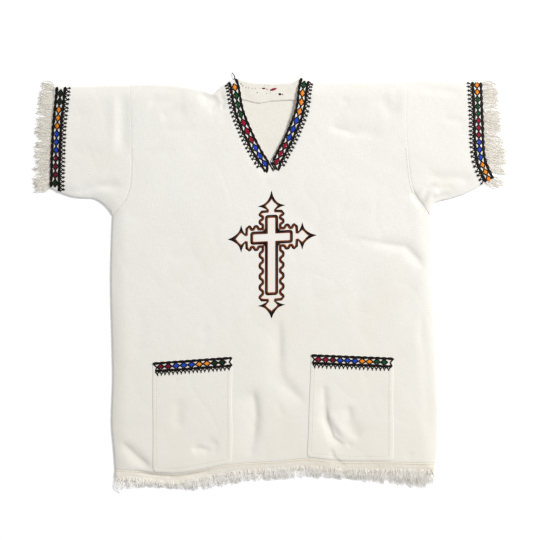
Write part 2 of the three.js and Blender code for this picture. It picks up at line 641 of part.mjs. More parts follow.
// A narrow strip beside an edge, with a strand to each tip from its share of the way along the edge.
// outward is the side of the edge that the strip lies on.
function fringe(edge, outward, tips) {
  const beside = (points, by) => points.map((p, k) => {
    const [before, after] = [points[Math.max(k - 1, 0)], points[Math.min(k + 1, points.length - 1)]];
    const tangent = after.clone().sub(before).normalize();
    return p.clone().add(new THREE.Vector2(-tangent.y, tangent.x).multiplyScalar(outward * by));
  });
  const { depth, low, high } = FRINGE_STRIP;
  const strip = solid(prism(
    [...beside(edge, SEAM), ...beside(edge, SEAM + depth).reverse()], low, high));
  const middle = new THREE.SplineCurve(beside(edge, SEAM + depth - STRAND.sink / 2));
  const strands = tips.map(({ share, x, y }, k) => {
    const root = middle.getPointAt(share);
    const rootZ = k % 2 ? low + STRAND.inset : high - STRAND.height - STRAND.inset;
    const tipZ = STRAND.floor + UNEVEN.tipHeight * (1 + uneven(k, 2));
    return strand(new THREE.Vector3(root.x, root.y, rootZ), new THREE.Vector3(x, y, tipZ), k);
  });
  return geometryOf(wasm.Manifold.union([strip, ...strands]));
}

function sleeveFringe(side) {
  const columns = SLEEVE_STEPS.length;
  const edge = SLEEVE_LEVELS.map((_, k) => SLEEVE_PLANS[side].points[(k + 1) * columns - 1]);
  const table = SLEEVE_TIPS[side];
  const first = side === 'left' ? 0 : TASSEL.share;
  const tips = Array.from({ length: STRANDS.sleeve }, (_, k) => {
    const share = lerp(first, 1, (k + 0.5) / STRANDS.sleeve);
    const y = lerp(table[0].y, table.at(-1).y, share) + UNEVEN.sideways / 2 * uneven(k, 3);
    const x = read(table, 'y', 'x', y);
    return { share, x: x - Math.sign(x) * UNEVEN.length * (1 + uneven(k, 4)), y };
  });
  // the right sleeve's lowest strands are gathered into a small tassel
  const gathered = Array.from({ length: side === 'left' ? 0 : STRANDS.tassel }, (_, k) => {
    const share = (k + 0.5) / STRANDS.tassel;
    return {
      share: share * TASSEL.share,
      x: lerp(TASSEL.from[0], TASSEL.to[0], share) + UNEVEN.tassel * uneven(k, 5),
      y: lerp(TASSEL.from[1], TASSEL.to[1], share) + UNEVEN.tassel * uneven(k, 6),
    };
  });
  return fringe(edge, side === 'left' ? 1 : -1, [...gathered, ...tips]);
}

function hemFringe() {
  const edge = OUTLINE.at(-1).map(([x, y]) => new THREE.Vector2(x, y));
  const [first, last] = [edge[0].x, edge.at(-1).x];
  const tips = Array.from({ length: STRANDS.hem }, (_, k) => {
    const share = (k + 0.5) / STRANDS.hem;
    const x = lerp(first, last, share) + UNEVEN.sideways * uneven(k, 7);
    return { share, x, y: read(HEM_TIPS, 'x', 'y', x) + UNEVEN.length * (1 + uneven(k, 8)) };
  });
  return fringe(edge, -1, tips);
}

// ---- the shirt ------------------------------------------------------------------------------

const cotton = (color) => new THREE.MeshStandardMaterial({ color, roughness: 0.92, metalness: 0 });
const thread = (color) => new THREE.MeshStandardMaterial({ color, roughness: 0.6, metalness: 0 });
const COLOURS = { cotton: 0xf1ede5, inside: 0xe9e3d6, hem: 0xe6dfd0, band: 0x2b1620, cross: 0x4a2412 };

const shirt = new THREE.Group();
function add(name, geometry, material) {
  const mesh = new THREE.Mesh(geometry, material);
  mesh.name = name;
  shirt.add(mesh);
}

add('back_panel', backPanel(), cotton(COLOURS.inside));
add('front_panel', frontPanel(), cotton(COLOURS.cotton));
add('neck_facing', neckFacing(), cotton(COLOURS.inside));
add('hem_band_back', hemBandBack(), cotton(COLOURS.hem));
add('hem_band_front', layer(bodyPlan(HEM_LEVELS), raised(-CLOTH), raised(0)), cotton(COLOURS.hem));
add('hem_fringe', hemFringe(), cotton(COLOURS.hem));
add('cross_border', crossBorder(), thread(COLOURS.cross));
add('cross_heart', crossHeart(), thread(COLOURS.cross));
for (const side of SIDE_NAMES) {
  add(`sleeve_${side}`, sleeve(side), cotton(COLOURS.cotton));
  add(`sleeve_fringe_${side}`, sleeveFringe(side), cotton(COLOURS.cotton));
  add(`sleeve_band_${side}`, sleeveBand(side), thread(COLOURS.band));
  add(`neck_band_${side}`, neckBand(side), thread(COLOURS.band));
  add(`pocket_${side}`, pocket(side), cotton(COLOURS.cotton));
  add(`pocket_band_${side}`, pocketBand(side), thread(COLOURS.band));
}

export default shirt;
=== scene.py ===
"""Traditional cotton shirt, laid flat on its back: the finish of every piece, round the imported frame.

Lengths in this file are millimetres, and become metres where a mesh is made. x runs to the right as
seen from above, y from hem to neck and z up from the surface. "left" and "right" are as seen from above.
"""
import math

import bpy
import numpy as np
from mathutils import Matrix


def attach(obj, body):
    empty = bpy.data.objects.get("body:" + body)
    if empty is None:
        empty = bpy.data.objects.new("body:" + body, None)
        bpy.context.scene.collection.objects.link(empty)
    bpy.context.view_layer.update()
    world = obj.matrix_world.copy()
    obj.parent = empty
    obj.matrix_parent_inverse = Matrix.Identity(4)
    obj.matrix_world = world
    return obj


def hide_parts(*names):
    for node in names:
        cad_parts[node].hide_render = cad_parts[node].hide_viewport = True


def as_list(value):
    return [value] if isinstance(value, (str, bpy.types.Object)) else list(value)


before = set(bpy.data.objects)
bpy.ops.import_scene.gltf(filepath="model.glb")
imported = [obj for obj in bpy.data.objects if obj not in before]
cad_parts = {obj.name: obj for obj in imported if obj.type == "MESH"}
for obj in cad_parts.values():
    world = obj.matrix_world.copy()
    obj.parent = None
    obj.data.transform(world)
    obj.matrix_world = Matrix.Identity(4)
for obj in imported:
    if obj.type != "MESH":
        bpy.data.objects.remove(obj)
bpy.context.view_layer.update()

MM = 0.001
SIDES = ("left", "right")
SIGN = {"left": -1, "right": 1}  # of x on each side

# ---- cloth ----
CLOTH = 0.8  # thickness that shows
EDGE_TOP = 2.8  # height of the front where it meets the back
LOFT = 3.5  # how much higher it stands well inside the outline
LOFT_RUN = 30  # distance from the outline over which it rises
NECK_LOFT = 0.4  # share of the loft at the V's edge
NECK_RUN = 35
SEAM_TOP = 1.75  # top of the front where it is sewn to the back
ROLL = 2.6  # distance over which an edge rounds down to its seam
BACK_TOP = 0.95  # top of the back panel
CRUMPLE = 0.55  # height of the soft wrinkles
FLOOR_OF_FRONT = EDGE_TOP - 0.6  # no fold goes below this
BOX = ((-470, 470), (-410, 412))  # x and y that the front's relief covers

# ---- levels on the body, before hem and shoulders are bent to their real lines ----
HEM = -358
HEM_BAND = 22
UNDERARM = 133
APEX = 234
SHOULDER_LEVEL = 383
HEM_BEND = (-160, 60)
SHOULDER_BEND = (330, 383)

# ---- outline tables ----
SIDE_SEAMS = {
    "y": (-389, -324, -269, -186, -129, 10, 99, 133),
    "left": (-293.5, -298, -302.5, -300, -301, -304, -302, -300.5),
    "right": (310, 318, 319, 316, 313.5, 308, 306.5, 303),
}
ARMHOLES = {
    "y": (133, 152.5, 166, 192, 261, 322, 383),
    "left": (-300.5, -284, -274.5, -267, -264, -265, -267),
    "right": (303, 289, 278.5, 268, 260, 257.5, 259.5),
}
NECK = {
    "y": (234, 253, 292, 333, 372, 383),
    "left": (0, -13, -33, -49.5, -59, -64),
    "right": (0, 10, 29.5, 45.5, 53, 57),
}
SHOULDERS = {
    "x": (-420, -339, -267, -208, -157, -124.5, -109, -98, -86.5, -65.6,
          57, 82.7, 132, 183, 259, 339, 379, 430),
    "y": (379, 380, 381.7, 381.7, 376.7, 370, 365.3, 374.8, 383.7, 394.3,
          395.7, 387, 386, 385.8, 388.8, 391.9, 389, 386),
}
BACK_NECK = {"x": (-64, -50, -30, -5, 25, 45, 57), "y": (394, 388.5, 385, 383.5, 384, 387.5, 395.4)}
FACING_HEM = {"x": (-56, -24, 4, 55), "y": (354, 346.5, 350, 352.5)}
HEM_SEAM = {
    "x": (-302, -248, -210, -177, -133, -72, -37, 16, 69, 132, 231, 320),
    "y": (-350, -352.8, -357.6, -358.6, -351.4, -340, -337, -334, -329, -335, -336, -338),
}
UNDERARM_SEAMS = {
    "left": {"x": (-424, -401.6, -377, -353, -335, -316.7, -306, -300.5),
             "y": (188, 177, 168.3, 165.8, 164.6, 153.7, 142, 133)},
    "right": {"x": (303, 309, 322, 339, 372, 404, 430), "y": (133, 152, 160, 164, 175, 191, 205)},
}
CUFFS = {
    "left": {"y": (180, 284, 390), "x": (-420.5, -417, -411)},
    "right": {"y": (200, 224, 248, 316, 390), "x": (428, 416, 408.5, 405.5, 402.4)},
}
CUFF_ENDS = {"left": (187, 379.2), "right": (203, 387.4)}
POCKETS = {
    "left": {"edges": (-224, -73), "foot_left": -223, "tops": (-145.8, -134.8)},
    "right": {"edges": (77, 233), "foot_left": 69.5, "tops": (-130, -136.5)},
}
POCKET_FOOT = 2.5
POCKET_CORNER = 7

# ---- folds and creases: width, or widths on the left and right of the line, height (troughs are
# negative), then x and y of the line's points ----
FOLDS = (
    (13, -1.3, -282, 372, -280, 310, -284, 240), (9, 0.8, -297, 372, -296, 310, -297, 250),
    (10, -1.3, -372, 183, -330, 190, -282, 190), (12, -1.3, -159, 366, -190, 352, -236, 347),
    (12, -1.1, -211, 318, -186, 328, -158, 334), ((7, 20), -1.2, -122, 362, -108, 350, -94, 322),
    ((15, 9), -1.2, 110, 303, 150, 292, 215, 285), (12, -1.1, 206, 360, 222, 340, 232, 316),
    (10, -1, 276, 377, 320, 371, 368, 364), (10, -1.3, 293, 206, 340, 204, 388, 200),
    (9, -1.4, 270, 176, 281, 164, 293, 148), (12, -1.5, 194, 84, 258, 74, 295, 30),
    (11, -1, 286, -45, 296, -170, 303, -305), ((10, 26), -1.9, -34, -190, -27, -254, -38, -324),
    ((10, 20), -1.5, 13, -60, 18, -172, 66, -228), ((8, 13), -1.4, 103, -186, 104, -252, 140, -304),
    (12, -1.4, 144, -226, 150, -262, 172, -292), (11, -1, -176, -215, -176, -245, -174, -275),
    (11, -1.2, -150, -312, -124, -309, -104, -290), ((7, 16), -1.2, -281, -296, -254, -318, -224, -349),
    (9, -1.5, -290, -352, -222, -362, -150, -356),
)
CREASES = (
    (6, -0.8, -387, 177, -352, 179, -325, 187, -281, 189), (9, -0.4, -400, 330, -372, 322, -340, 326),
    (10, -0.4, -385, 265, -350, 250, -318, 256), (5, -0.6, -94, 372, -95, 352),
    (6, -0.5, -115, 336, -108, 334), (6, -0.5, -94, 339, -87, 338),
    (9, -0.5, -205, 296, -170, 292, -140, 300), (10, -0.4, -236, 240, -210, 252, -178, 250),
    ((3.5, 9), -0.6, 110, 303, 138, 296, 166, 287), (6, -0.5, 132, 352, 150, 347),
    (8, -0.5, 240, 380, 238, 345, 242, 318), (5, -0.5, 308, 188, 330, 186, 350, 187),
    (7, -0.6, 324, 318, 348, 313, 371, 309), ((3, 7), -1.1, 270, 182, 275, 170, 288, 153, 297, 138),
    ((3.2, 10), -1.0, 143, 92, 189, 85, 219, 79, 257, 74, 280, 52, 293, 30),
    (6, -0.4, 286, -46, 287, -84, 285, -121), (6, -0.6, 255, -327, 263, -325, 268, -316),
    (6, -0.6, -34, -198, -27, -228, -26, -256, -31, -300), (7, -0.5, -39, -308, -36, -324),
    ((5, 11), -0.6, 16, -62, 19, -104, 18, -150), (6, -0.5, 19, -186, 38, -200, 68, -226),
    (6, -0.4, 16, -221, 20, -249), (5, -0.7, 102, -190, 102, -228),
    ((2.8, 9), -1.6, 104, -224, 108, -258, 120, -290, 142, -306), (8, 0.9, 112, -240, 122, -262, 142, -288),
    ((2.6, 8), -1.0, 114, -308, 122, -328, 146, -346), (4, -0.6, 144, -300, 150, -304, 156, -302),
    (6, -0.5, 147, -228, 150, -242, 153, -256), (6, -0.4, 148, -278, 160, -284, 172, -291),
    (6, -0.4, -182, -178, -176, -184), (4.5, -0.6, -151, -313, -137, -310, -122, -311),
    (6, -0.5, -106, -292, -104, -308, -106, -324), ((3, 13), -1.6, -286, -294, -256, -322, -224, -350),
    (5, -0.4, -262, -352, -252, -338, -240, -330),
    ((2.6, 7), -2.0, -262, -352, -226, -360, -180, -364, -132, -356, -108, -349),
    ((1.8, 5), -0.9, -284, -360, -240, -366, -196, -371, -150, -366),
    (4, 0.5, -262, -347, -226, -353, -180, -356, -132, -349), (12, -0.4, -200, 60, -168, 52, -130, 58),
    (12, -0.4, -252, -40, -246, -90, -252, -140), (10, -0.4, -130, -70, -122, -96, -128, -124),
    (13, -0.4, 170, 20, 166, -30, 174, -84), (12, -0.4, 120, 150, 150, 140, 190, 150),
    (8, 1.8, 58, 384, 54, 356, 45, 324, 34, 296), ((3, 20), -0.9, -136, 372, -112, 360, -92, 342),
    ((4, 17), -1.3, -134, 366, -108, 357, -82, 350), ((9, 4), -1.2, -96, 368, -88, 350, -94, 330),
    (8, -0.6, -72, 340, -84, 326, -88, 306), (5, 2.2, 296, 158, 306, 172, 320, 180),
    (4.5, -1.6, 288, 166, 300, 184, 316, 192), (4.5, -1.2, 306, 160, 322, 168, 346, 172),
    ((4, 12), -0.8, -34, -196, -28, -240, -33, -300),
    ((3, 8), -0.5, -150, -310, -134, -308, -120, -312, -106, -316),
)
BACK_CREASES = (
    (12, 0.9, -210, -250, -150, -200, -60, -180), (13, 1.0, 60, -300, 110, -220, 120, -140),
    (14, 0.8, -250, 20, -180, 40, -120, 10), (12, 0.9, 40, 60, 120, 90, 220, 70),
    (13, 0.7, -120, 240, -60, 260, 10, 240), (12, 0.8, 180, 300, 200, 240, 190, 180),
    (11, 0.8, -230, 330, -200, 270, -215, 200), (12, 0.8, -20, -60, 10, -120, 0, -190),
    (12, 0.8, 230, -60, 250, -150, 236, -240),
)


# ---- formulas ----
def read(table, key, column, at):
    """A smooth curve through a table's rows: a cubic between two rows, whose slope at each row is that
    of the line through the rows on either side of it."""
    keys, values = np.asarray(table[key], float), np.asarray(table[column], float)
    rows = np.arange(len(keys))
    before, after = np.maximum(rows - 1, 0), np.minimum(rows + 1, len(keys) - 1)
    slopes = (values[after] - values[before]) / (keys[after] - keys[before])
    at = np.clip(at, keys[0], keys[-1])
    row = np.clip(np.searchsorted(keys, at, side="left") - 1, 0, len(keys) - 2)
    run = keys[row + 1] - keys[row]
    t = (at - keys[row]) / run
    bend = slopes[row] * t * (1 - t) ** 2 - slopes[row + 1] * t * t * (1 - t)
    return values[row] + (values[row + 1] - values[row]) * t * t * (3 - 2 * t) + bend * run


def smoothstep(x, low, high):
    """0 below low, 1 above high, and 3t^2 - 2t^3 between them."""
    t = np.clip((x - low) / (high - low), 0, 1)
    return t * t * (3 - 2 * t)


def mix(a, b, t):
    """The value that lies the share t of the way from a to b."""
    return a + (b - a) * t


def shoulder_y(x):
    return read(SHOULDERS, "x", "y", x)


def hem_y(x):
    return read(HEM_SEAM, "x", "y", x)


def bent(level, x):
    """A level's height in plan at x, moved as far as the hem and the shoulder line are at that x."""
    low = 1 - smoothstep(level, *HEM_BEND)
    rise = (shoulder_y(x) - SHOULDER_LEVEL) * smoothstep(level, *SHOULDER_BEND)
    return level + (hem_y(x) - HEM) * low + rise


def points_of(*columns):
    """Points whose coordinates are these columns."""
    return np.stack(np.broadcast_arrays(*columns), axis=-1)


def square_to(direction):
    """The direction a quarter turn to the left."""
    return points_of(-direction[..., 1], direction[..., 0])


def outer_x(side, level):
    """x of the side seam, or above the underarm of the armhole."""
    seam = read(SIDE_SEAMS, "y", side, level)
    return np.where(np.asarray(level) > UNDERARM, read(ARMHOLES, "y", side, level), seam)


def body_point(side, across, level):
    """x and y of a body point: straight across from the outer edge to the centre or the V's edge."""
    across, level = np.broadcast_arrays(np.asarray(across, float), np.asarray(level, float))
    inner = np.where(level > APEX, read(NECK, "y", side, level), 0)
    x = mix(outer_x(side, level), inner, across)
    return x, bent(level, x)


def sleeve_point(side, along, level):
    """x and y of a sleeve point: a patch blended from armhole, cuff, underarm seam and shoulder fold,
    as the sum of the two straight blends less the blend of the four corners."""
    along, level = np.broadcast_arrays(np.asarray(along, float), np.asarray(level, float))
    up = (level - UNDERARM) / (SHOULDER_LEVEL - UNDERARM)

    def cuff(v):
        y = mix(*CUFF_ENDS[side], v)
        return np.stack([read(CUFFS[side], "y", "x", y), y])

    def armhole(at):
        return np.stack(body_point(side, 0, at))

    one = np.ones_like(along)
    low, high = armhole(UNDERARM * one), armhole(SHOULDER_LEVEL * one)
    cuff_low, cuff_high = cuff(0 * one), cuff(one)
    underarm_x, shoulder_x = mix(low[0], cuff_low[0], along), mix(high[0], cuff_high[0], along)
    underarm = np.stack([underarm_x, read(UNDERARM_SEAMS[side], "x", "y", underarm_x)])
    shoulder = np.stack([shoulder_x, shoulder_y(shoulder_x)])
    across = mix(armhole(level), cuff(up), along)
    lengthwise = mix(underarm, shoulder, up)
    corners = mix(mix(low, cuff_low, along), mix(high, cuff_high, along), up)
    return across + lengthwise - corners


def nearest(chain, x, y):
    """Distance to a chain of straight stretches, the share of the chain where it is nearest, and
    whether the point lies on the chain's left."""
    best, along = np.full(np.shape(x), np.inf), np.zeros(np.shape(x))
    left = np.zeros(np.shape(x), bool)
    chain = np.asarray(chain, float)
    for k, (a, b) in enumerate(zip(chain[:-1], chain[1:])):
        run = b - a
        t = np.clip(((x - a[0]) * run[0] + (y - a[1]) * run[1]) / max(run @ run, 1e-9), 0, 1)
        distance = np.hypot(x - a[0] - run[0] * t, y - a[1] - run[1] * t)
        closer = distance < best
        best = np.where(closer, distance, best)
        along = np.where(closer, (k + t) / (len(chain) - 1), along)
        left = np.where(closer, run[0] * (y - a[1]) > run[1] * (x - a[0]), left)
    return best, along, left


def folded(x, y, folds):
    """Sum of the folds: each is a bell across its line, exp(-(distance / width)^2), that fades out
    towards the line's two ends. A pair of widths is for the line's left and right."""
    total = np.zeros(np.shape(x))
    for width, height, *line in folds:
        distance, along, left = nearest(np.reshape(line, (-1, 2)), x, y)
        width = np.where(left, *np.broadcast_to(width, 2))
        ends = smoothstep(np.minimum(along, 1 - along), -0.05, 0.25)
        total += height * ends * np.exp(-((distance / width) ** 2))
    return total


LATTICE = 256  # random values along each side before they repeat
WRINKLES = ((46, 0.42, 0.5), (27, 0.22, 2.0), (15, 0.1, 1.2))  # sizes, heights and directions


def noise(x, y, cell, seed):
    """Smooth random relief of about -1 to 1: random values on a square lattice, eased between them
    by 6t^5 - 15t^4 + 10t^3."""
    lattice = np.random.default_rng(seed).uniform(-1, 1, (LATTICE, LATTICE))
    u, v = x / cell + 97.3, y / cell + 61.7
    i, j = np.floor(u).astype(int), np.floor(v).astype(int)
    s, t = [f * f * f * (f * (6 * f - 15) + 10) for f in (u - i, v - j)]
    i, j, i1, j1 = i % LATTICE, j % LATTICE, (i + 1) % LATTICE, (j + 1) % LATTICE
    return mix(mix(lattice[i, j], lattice[i1, j], s), mix(lattice[i, j1], lattice[i1, j1], s), t)


def crumple(x, y, seed=1):
    """Soft wrinkles: noise at five sizes, each bent by a wider one, with creased valleys at three."""
    warp_x, warp_y = 22 * noise(x, y, 80, seed + 50), 22 * noise(x, y, 80, seed + 51)
    x, y = x + warp_x, y + warp_y
    relief = 0.9 * noise(x, y, 95, seed) + 0.35 * noise(x, y, 42, seed + 1)
    for cell, height, turn in WRINKLES:
        u = x * math.cos(turn) + y * math.sin(turn)
        v = (y * math.cos(turn) - x * math.sin(turn)) * 0.55
        relief -= height * (1 - np.abs(noise(u, v, cell, seed + cell))) ** 4
    return relief


# ---- height of the front and of the upper sleeves ----
EVEN = np.linspace(0, 1, 40)
BODY_SIDE = np.linspace(HEM, UNDERARM, 40)


def outline_chains():
    """The shirt's outline as chains: each side from hem to neck by way of the sleeve, and the hem."""
    chains = [[
        body_point(side, 0, BODY_SIDE),
        sleeve_point(side, EVEN, UNDERARM),
        sleeve_point(side, EVEN[::-1], SHOULDER_LEVEL),
        body_point(side, EVEN, SHOULDER_LEVEL),
    ] for side in SIDES]
    foot = HEM - HEM_BAND
    chains.append([body_point("left", EVEN, foot), body_point("right", EVEN[::-1], foot)])
    return [np.concatenate([points_of(*part) for part in parts]) for parts in chains]


OUTLINE = outline_chains()
NECK_LEVELS = np.linspace(APEX, SHOULDER_LEVEL, 24)
V_EDGE = np.concatenate([
    points_of(*body_point("left", 1, NECK_LEVELS[::-1])),
    points_of(*body_point("right", 1, NECK_LEVELS[1:])),
])


def top(x, y):
    """Height of the front's upper face: thin at the outline, lofted by 1 - (1 - d/run)^2 inside it,
    less at the V, with folds, creases and soft wrinkles that fade out towards the outline."""
    inside = np.min([nearest(chain, x, y)[0] for chain in OUTLINE], axis=0)
    rise = 1 - (1 - np.clip(inside / LOFT_RUN, 0, 1)) ** 2
    from_neck = nearest(V_EDGE, x, y)[0]
    loft = LOFT * mix(NECK_LOFT, 1, smoothstep(from_neck, 0, NECK_RUN))
    base = EDGE_TOP + (loft + folded(x, y, FOLDS)) * rise
    fine = folded(x, y, CREASES) + CRUMPLE * crumple(x, y)
    near_edge = smoothstep(inside, 0, 12) * 0.8 + 0.2
    return np.maximum(base + fine * near_edge * smoothstep(inside, -2, 7), FLOOR_OF_FRONT)


class Relief:
    """The front's height on a square lattice, read between its points by straight blending, for the
    stitches that lie on it."""

    def __init__(self, pitch=2.0):
        self.pitch = pitch
        self.x, self.y = [np.arange(low, high, pitch) for low, high in BOX]
        self.z = top(*np.meshgrid(self.x, self.y, indexing="ij"))

    def __call__(self, x, y):
        u = np.clip((x - self.x[0]) / self.pitch, 0, len(self.x) - 1.001)
        v = np.clip((y - self.y[0]) / self.pitch, 0, len(self.y) - 1.001)
        i, j = u.astype(int), v.astype(int)
        low = mix(self.z[i, j], self.z[i + 1, j], u - i)
        return mix(low, mix(self.z[i, j + 1], self.z[i + 1, j + 1], u - i), v - j)


on_front = Relief()


def rolled(distance):
    """A quarter round, sqrt(1 - (1 - d / ROLL)^2): 0 at an edge and 1 from ROLL inside it."""
    return np.sqrt(np.clip(1 - (1 - np.clip(distance / ROLL, 0, 1)) ** 2, 0, 1))


def edged(distance):
    """1 at an edge and 0 from ROLL inside it."""
    return 1 - rolled(distance)


# ---- meshes ----
def grid_faces(rows, columns, index=None):
    """The four-sided faces of a grid of points, wound rightwards and then up."""
    index = np.arange(rows * columns).reshape(rows, columns) if index is None else index
    corners = [index[:-1, :-1], index[:-1, 1:], index[1:, 1:], index[1:, :-1]]
    return np.stack([c.ravel() for c in corners], axis=1)


def wall(outer, inner, faces):
    """A closed wall between two matching sheets: the outer faces, the inner ones turned round, and
    one face along each open edge."""
    count = len(outer)
    edges = np.concatenate([faces[:, [k, (k + 1) % 4]] for k in range(4)])
    shared = np.isin(edges[:, 0] * count + edges[:, 1], edges[:, 1] * count + edges[:, 0])
    a, b = edges[~shared].T
    rim = np.stack([b, a, a + count, b + count], axis=1)
    return np.concatenate([outer, inner]), [faces, faces[:, ::-1] + count, rim]


def placed(name, data):
    """An object with this data, in the scene."""
    obj = bpy.data.objects.new(name, data)
    bpy.context.scene.collection.objects.link(obj)
    return obj


def make(name, node, points, faces, materials, finish=None, uv=None):
    """A piece on body root, in place of a node's solid where one is given: points in millimetres,
    faces as a list of index arrays. finish gives each face its material's number, and uv each point
    its place on the piece."""
    mesh = bpy.data.meshes.new(name)
    mesh.from_pydata((points * MM).tolist(), [], [f for part in faces for f in part.tolist()])
    for material in materials:
        mesh.materials.append(material)
    if finish is not None:
        mesh.polygons.foreach_set("material_index", np.concatenate(finish).astype(np.int32))
    if uv is not None:
        corners = np.zeros(len(mesh.loops), np.int32)
        mesh.loops.foreach_get("vertex_index", corners)
        mesh.uv_layers.new(name="UVMap").data.foreach_set("uv", uv[corners].astype(np.float32).ravel())
    mesh.shade_smooth()
    obj = placed(name, mesh)
    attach(obj, "root")
    if node:
        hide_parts(node)
    return obj


class Stitches:
    """Threads and satin patches gathered into one piece, each with the number of its material."""

    def __init__(self):
        self.points, self.faces, self.finish, self.uv, self.count = [], [], [], [], 0

    def add(self, points, faces, finish, uv):
        self.points.append(points)
        self.faces += [f + self.count for f in faces]
        self.finish += [np.full(len(f), finish) for f in faces]
        self.uv.append(uv)
        self.count += len(points)

    def threads(self, paths, width, height, finish=0, sides=6):
        """Closed threads along paths (threads, stations, 3). A thread's section is an ellipse of half
        axes width and height, held level: centre + across * width * cos a + up * height * sin a."""
        paths = np.asarray(paths, float)
        many, stations = paths.shape[:2]
        width = np.broadcast_to(width, (many, stations))[..., None, None]
        height = np.broadcast_to(height, (many, stations))[..., None, None]
        along = np.gradient(paths, axis=1)
        along /= np.maximum(np.linalg.norm(along, axis=2, keepdims=True), 1e-9)
        across = points_of(-along[..., 1], along[..., 0], 0)
        across /= np.maximum(np.linalg.norm(across, axis=2, keepdims=True), 1e-9)
        up = np.cross(along, across)
        angle = 2 * np.pi * np.arange(sides) / sides
        ring = (paths[:, :, None] + across[:, :, None] * width * np.cos(angle)[:, None]
                + up[:, :, None] * height * np.sin(angle)[:, None])
        index = np.arange(many * stations * sides).reshape(many, stations, sides)
        turned = np.roll(index, -1, axis=2)
        walls = np.stack([index[:, :-1], turned[:, :-1], turned[:, 1:], index[:, 1:]], axis=3)
        run = np.cumsum(np.linalg.norm(np.diff(paths, axis=1, prepend=paths[:, :1]), axis=2), axis=1)
        uv = points_of(run[:, :, None] * MM, angle / (2 * np.pi))
        faces = [walls.reshape(-1, 4), index[:, 0, ::-1], index[:, -1]]
        self.add(ring.reshape(-1, 3), faces, finish, uv.reshape(-1, 2))

    def make(self, name, node, materials, slot):
        points, uv = np.concatenate(self.points), np.concatenate(self.uv)
        return make(name, node, points, self.faces, materials, self.finish, uv)


# ---- finishes ----
def linear(code):
    """A finish's colour code as light: each channel c becomes ((c + 0.055) / 1.055)^2.4."""
    channels = [int(code[k:k + 2], 16) / 255 for k in (0, 2, 4)]
    return [c / 12.92 if c < 0.04045 else ((c + 0.055) / 1.055) ** 2.4 for c in channels] + [1]


class Nodes:
    """Short ways to add and join the nodes of one tree."""

    def __init__(self, tree):
        self.tree = tree

    def join(self, node, inputs):
        """Link each input of a node to a socket, or set it to a value."""
        for key, value in inputs.items():
            if isinstance(value, bpy.types.NodeSocket):
                self.tree.links.new(value, node.inputs[key])
            else:
                node.inputs[key].default_value = value
        return node

    def add(self, kind, inputs=None, **settings):
        node = self.tree.nodes.new("ShaderNode" + kind)
        for key, value in settings.items():
            setattr(node, key, value)
        return self.join(node, inputs or {})

    def math(self, operation, *values, clamp=False):
        inputs = dict(enumerate(values))
        return self.add("Math", inputs, operation=operation, use_clamp=clamp).outputs[0]

    def vector(self, operation, a, b):
        return self.add("VectorMath", {0: a, 1: b}, operation=operation).outputs[0]

    def blend(self, share, a, b):
        return self.add("Mix", {0: share, 6: a, 7: b}, data_type="RGBA").outputs[2]

    def place(self):
        return self.add("TexCoord").outputs["Object"]

    def axes(self, vector):
        return self.add("SeparateXYZ", {0: vector}).outputs

    def noise(self, place, scale, detail, roughness=0.5):
        inputs = {"Vector": place, "Scale": scale, "Detail": detail, "Roughness": roughness}
        return self.add("TexNoise", inputs).outputs

    def carried(self, value, low, high, start=0.0, end=1.0):
        """A value from the range low to high, carried over to the range start to end."""
        inputs = {"Value": value, "From Min": low, "From Max": high, "To Min": start, "To Max": end}
        return self.add("MapRange", inputs).outputs[0]

    def bump(self, height, distance, strength):
        inputs = {"Height": height, "Distance": distance, "Strength": strength}
        return self.add("Bump", inputs).outputs["Normal"]


def new_group(name, inputs, outputs):
    """An empty shader group with these inputs and outputs: its nodes, what it is given and its end."""
    group = bpy.data.node_groups.new(name, "ShaderNodeTree")
    for label, value in inputs.items():
        socket = group.interface.new_socket(name=label, in_out="INPUT", socket_type="NodeSocketFloat")
        socket.default_value = value
    for label, kind in outputs.items():
        group.interface.new_socket(name=label, in_out="OUTPUT", socket_type="NodeSocket" + kind)
    return Nodes(group), group.nodes.new("NodeGroupInput").outputs, group.nodes.new("NodeGroupOutput")


YARN_STRETCHES = ((75.0, 520.0, 1.0), (520.0, 75.0, 1.0))  # thick and thin along warp and weft


def handwoven():
    """Plain weave by hand: warp and weft cross as sin(pi x / pitch) * sin(pi y / pitch), each yarn
    thick and thin along its length, with a few slubs, over soft patches of shade."""
    nodes, given, end = new_group(
        "Handwoven cotton", {"Pitch": 0.0006, "Slubs": 1.0, "Relief": 0.35},
        {"Shade": "Float", "Patches": "Float", "Normal": "Vector"})
    place = nodes.place()
    bend = nodes.vector("MULTIPLY", nodes.noise(place, 60.0, 3.0)["Color"], (0.002, 0.002, 0.0))
    moved = nodes.vector("ADD", place, bend)
    axes = nodes.axes(moved)
    turns = nodes.math("DIVIDE", math.pi, given["Pitch"])
    waves = [nodes.math("SINE", nodes.math("MULTIPLY", axes[k], turns)) for k in "XY"]
    yarns = [nodes.noise(nodes.vector("MULTIPLY", moved, stretch), 1.0, 3.0, 0.65)["Fac"]
             for stretch in YARN_STRETCHES]
    uneven = nodes.math("SUBTRACT", nodes.math("ADD", *yarns), 1.0)
    slubs = nodes.math("MULTIPLY", uneven, given["Slubs"])
    height = nodes.math("MULTIPLY_ADD", nodes.math("MULTIPLY", *waves), 0.1, slubs)
    nodes.join(end, {
        "Shade": nodes.math("ADD", slubs, 0.5),
        "Patches": nodes.noise(place, 7.0, 5.0, 0.6)["Fac"],
        "Normal": nodes.bump(height, 0.0006, given["Relief"]),
    })
    return nodes.tree


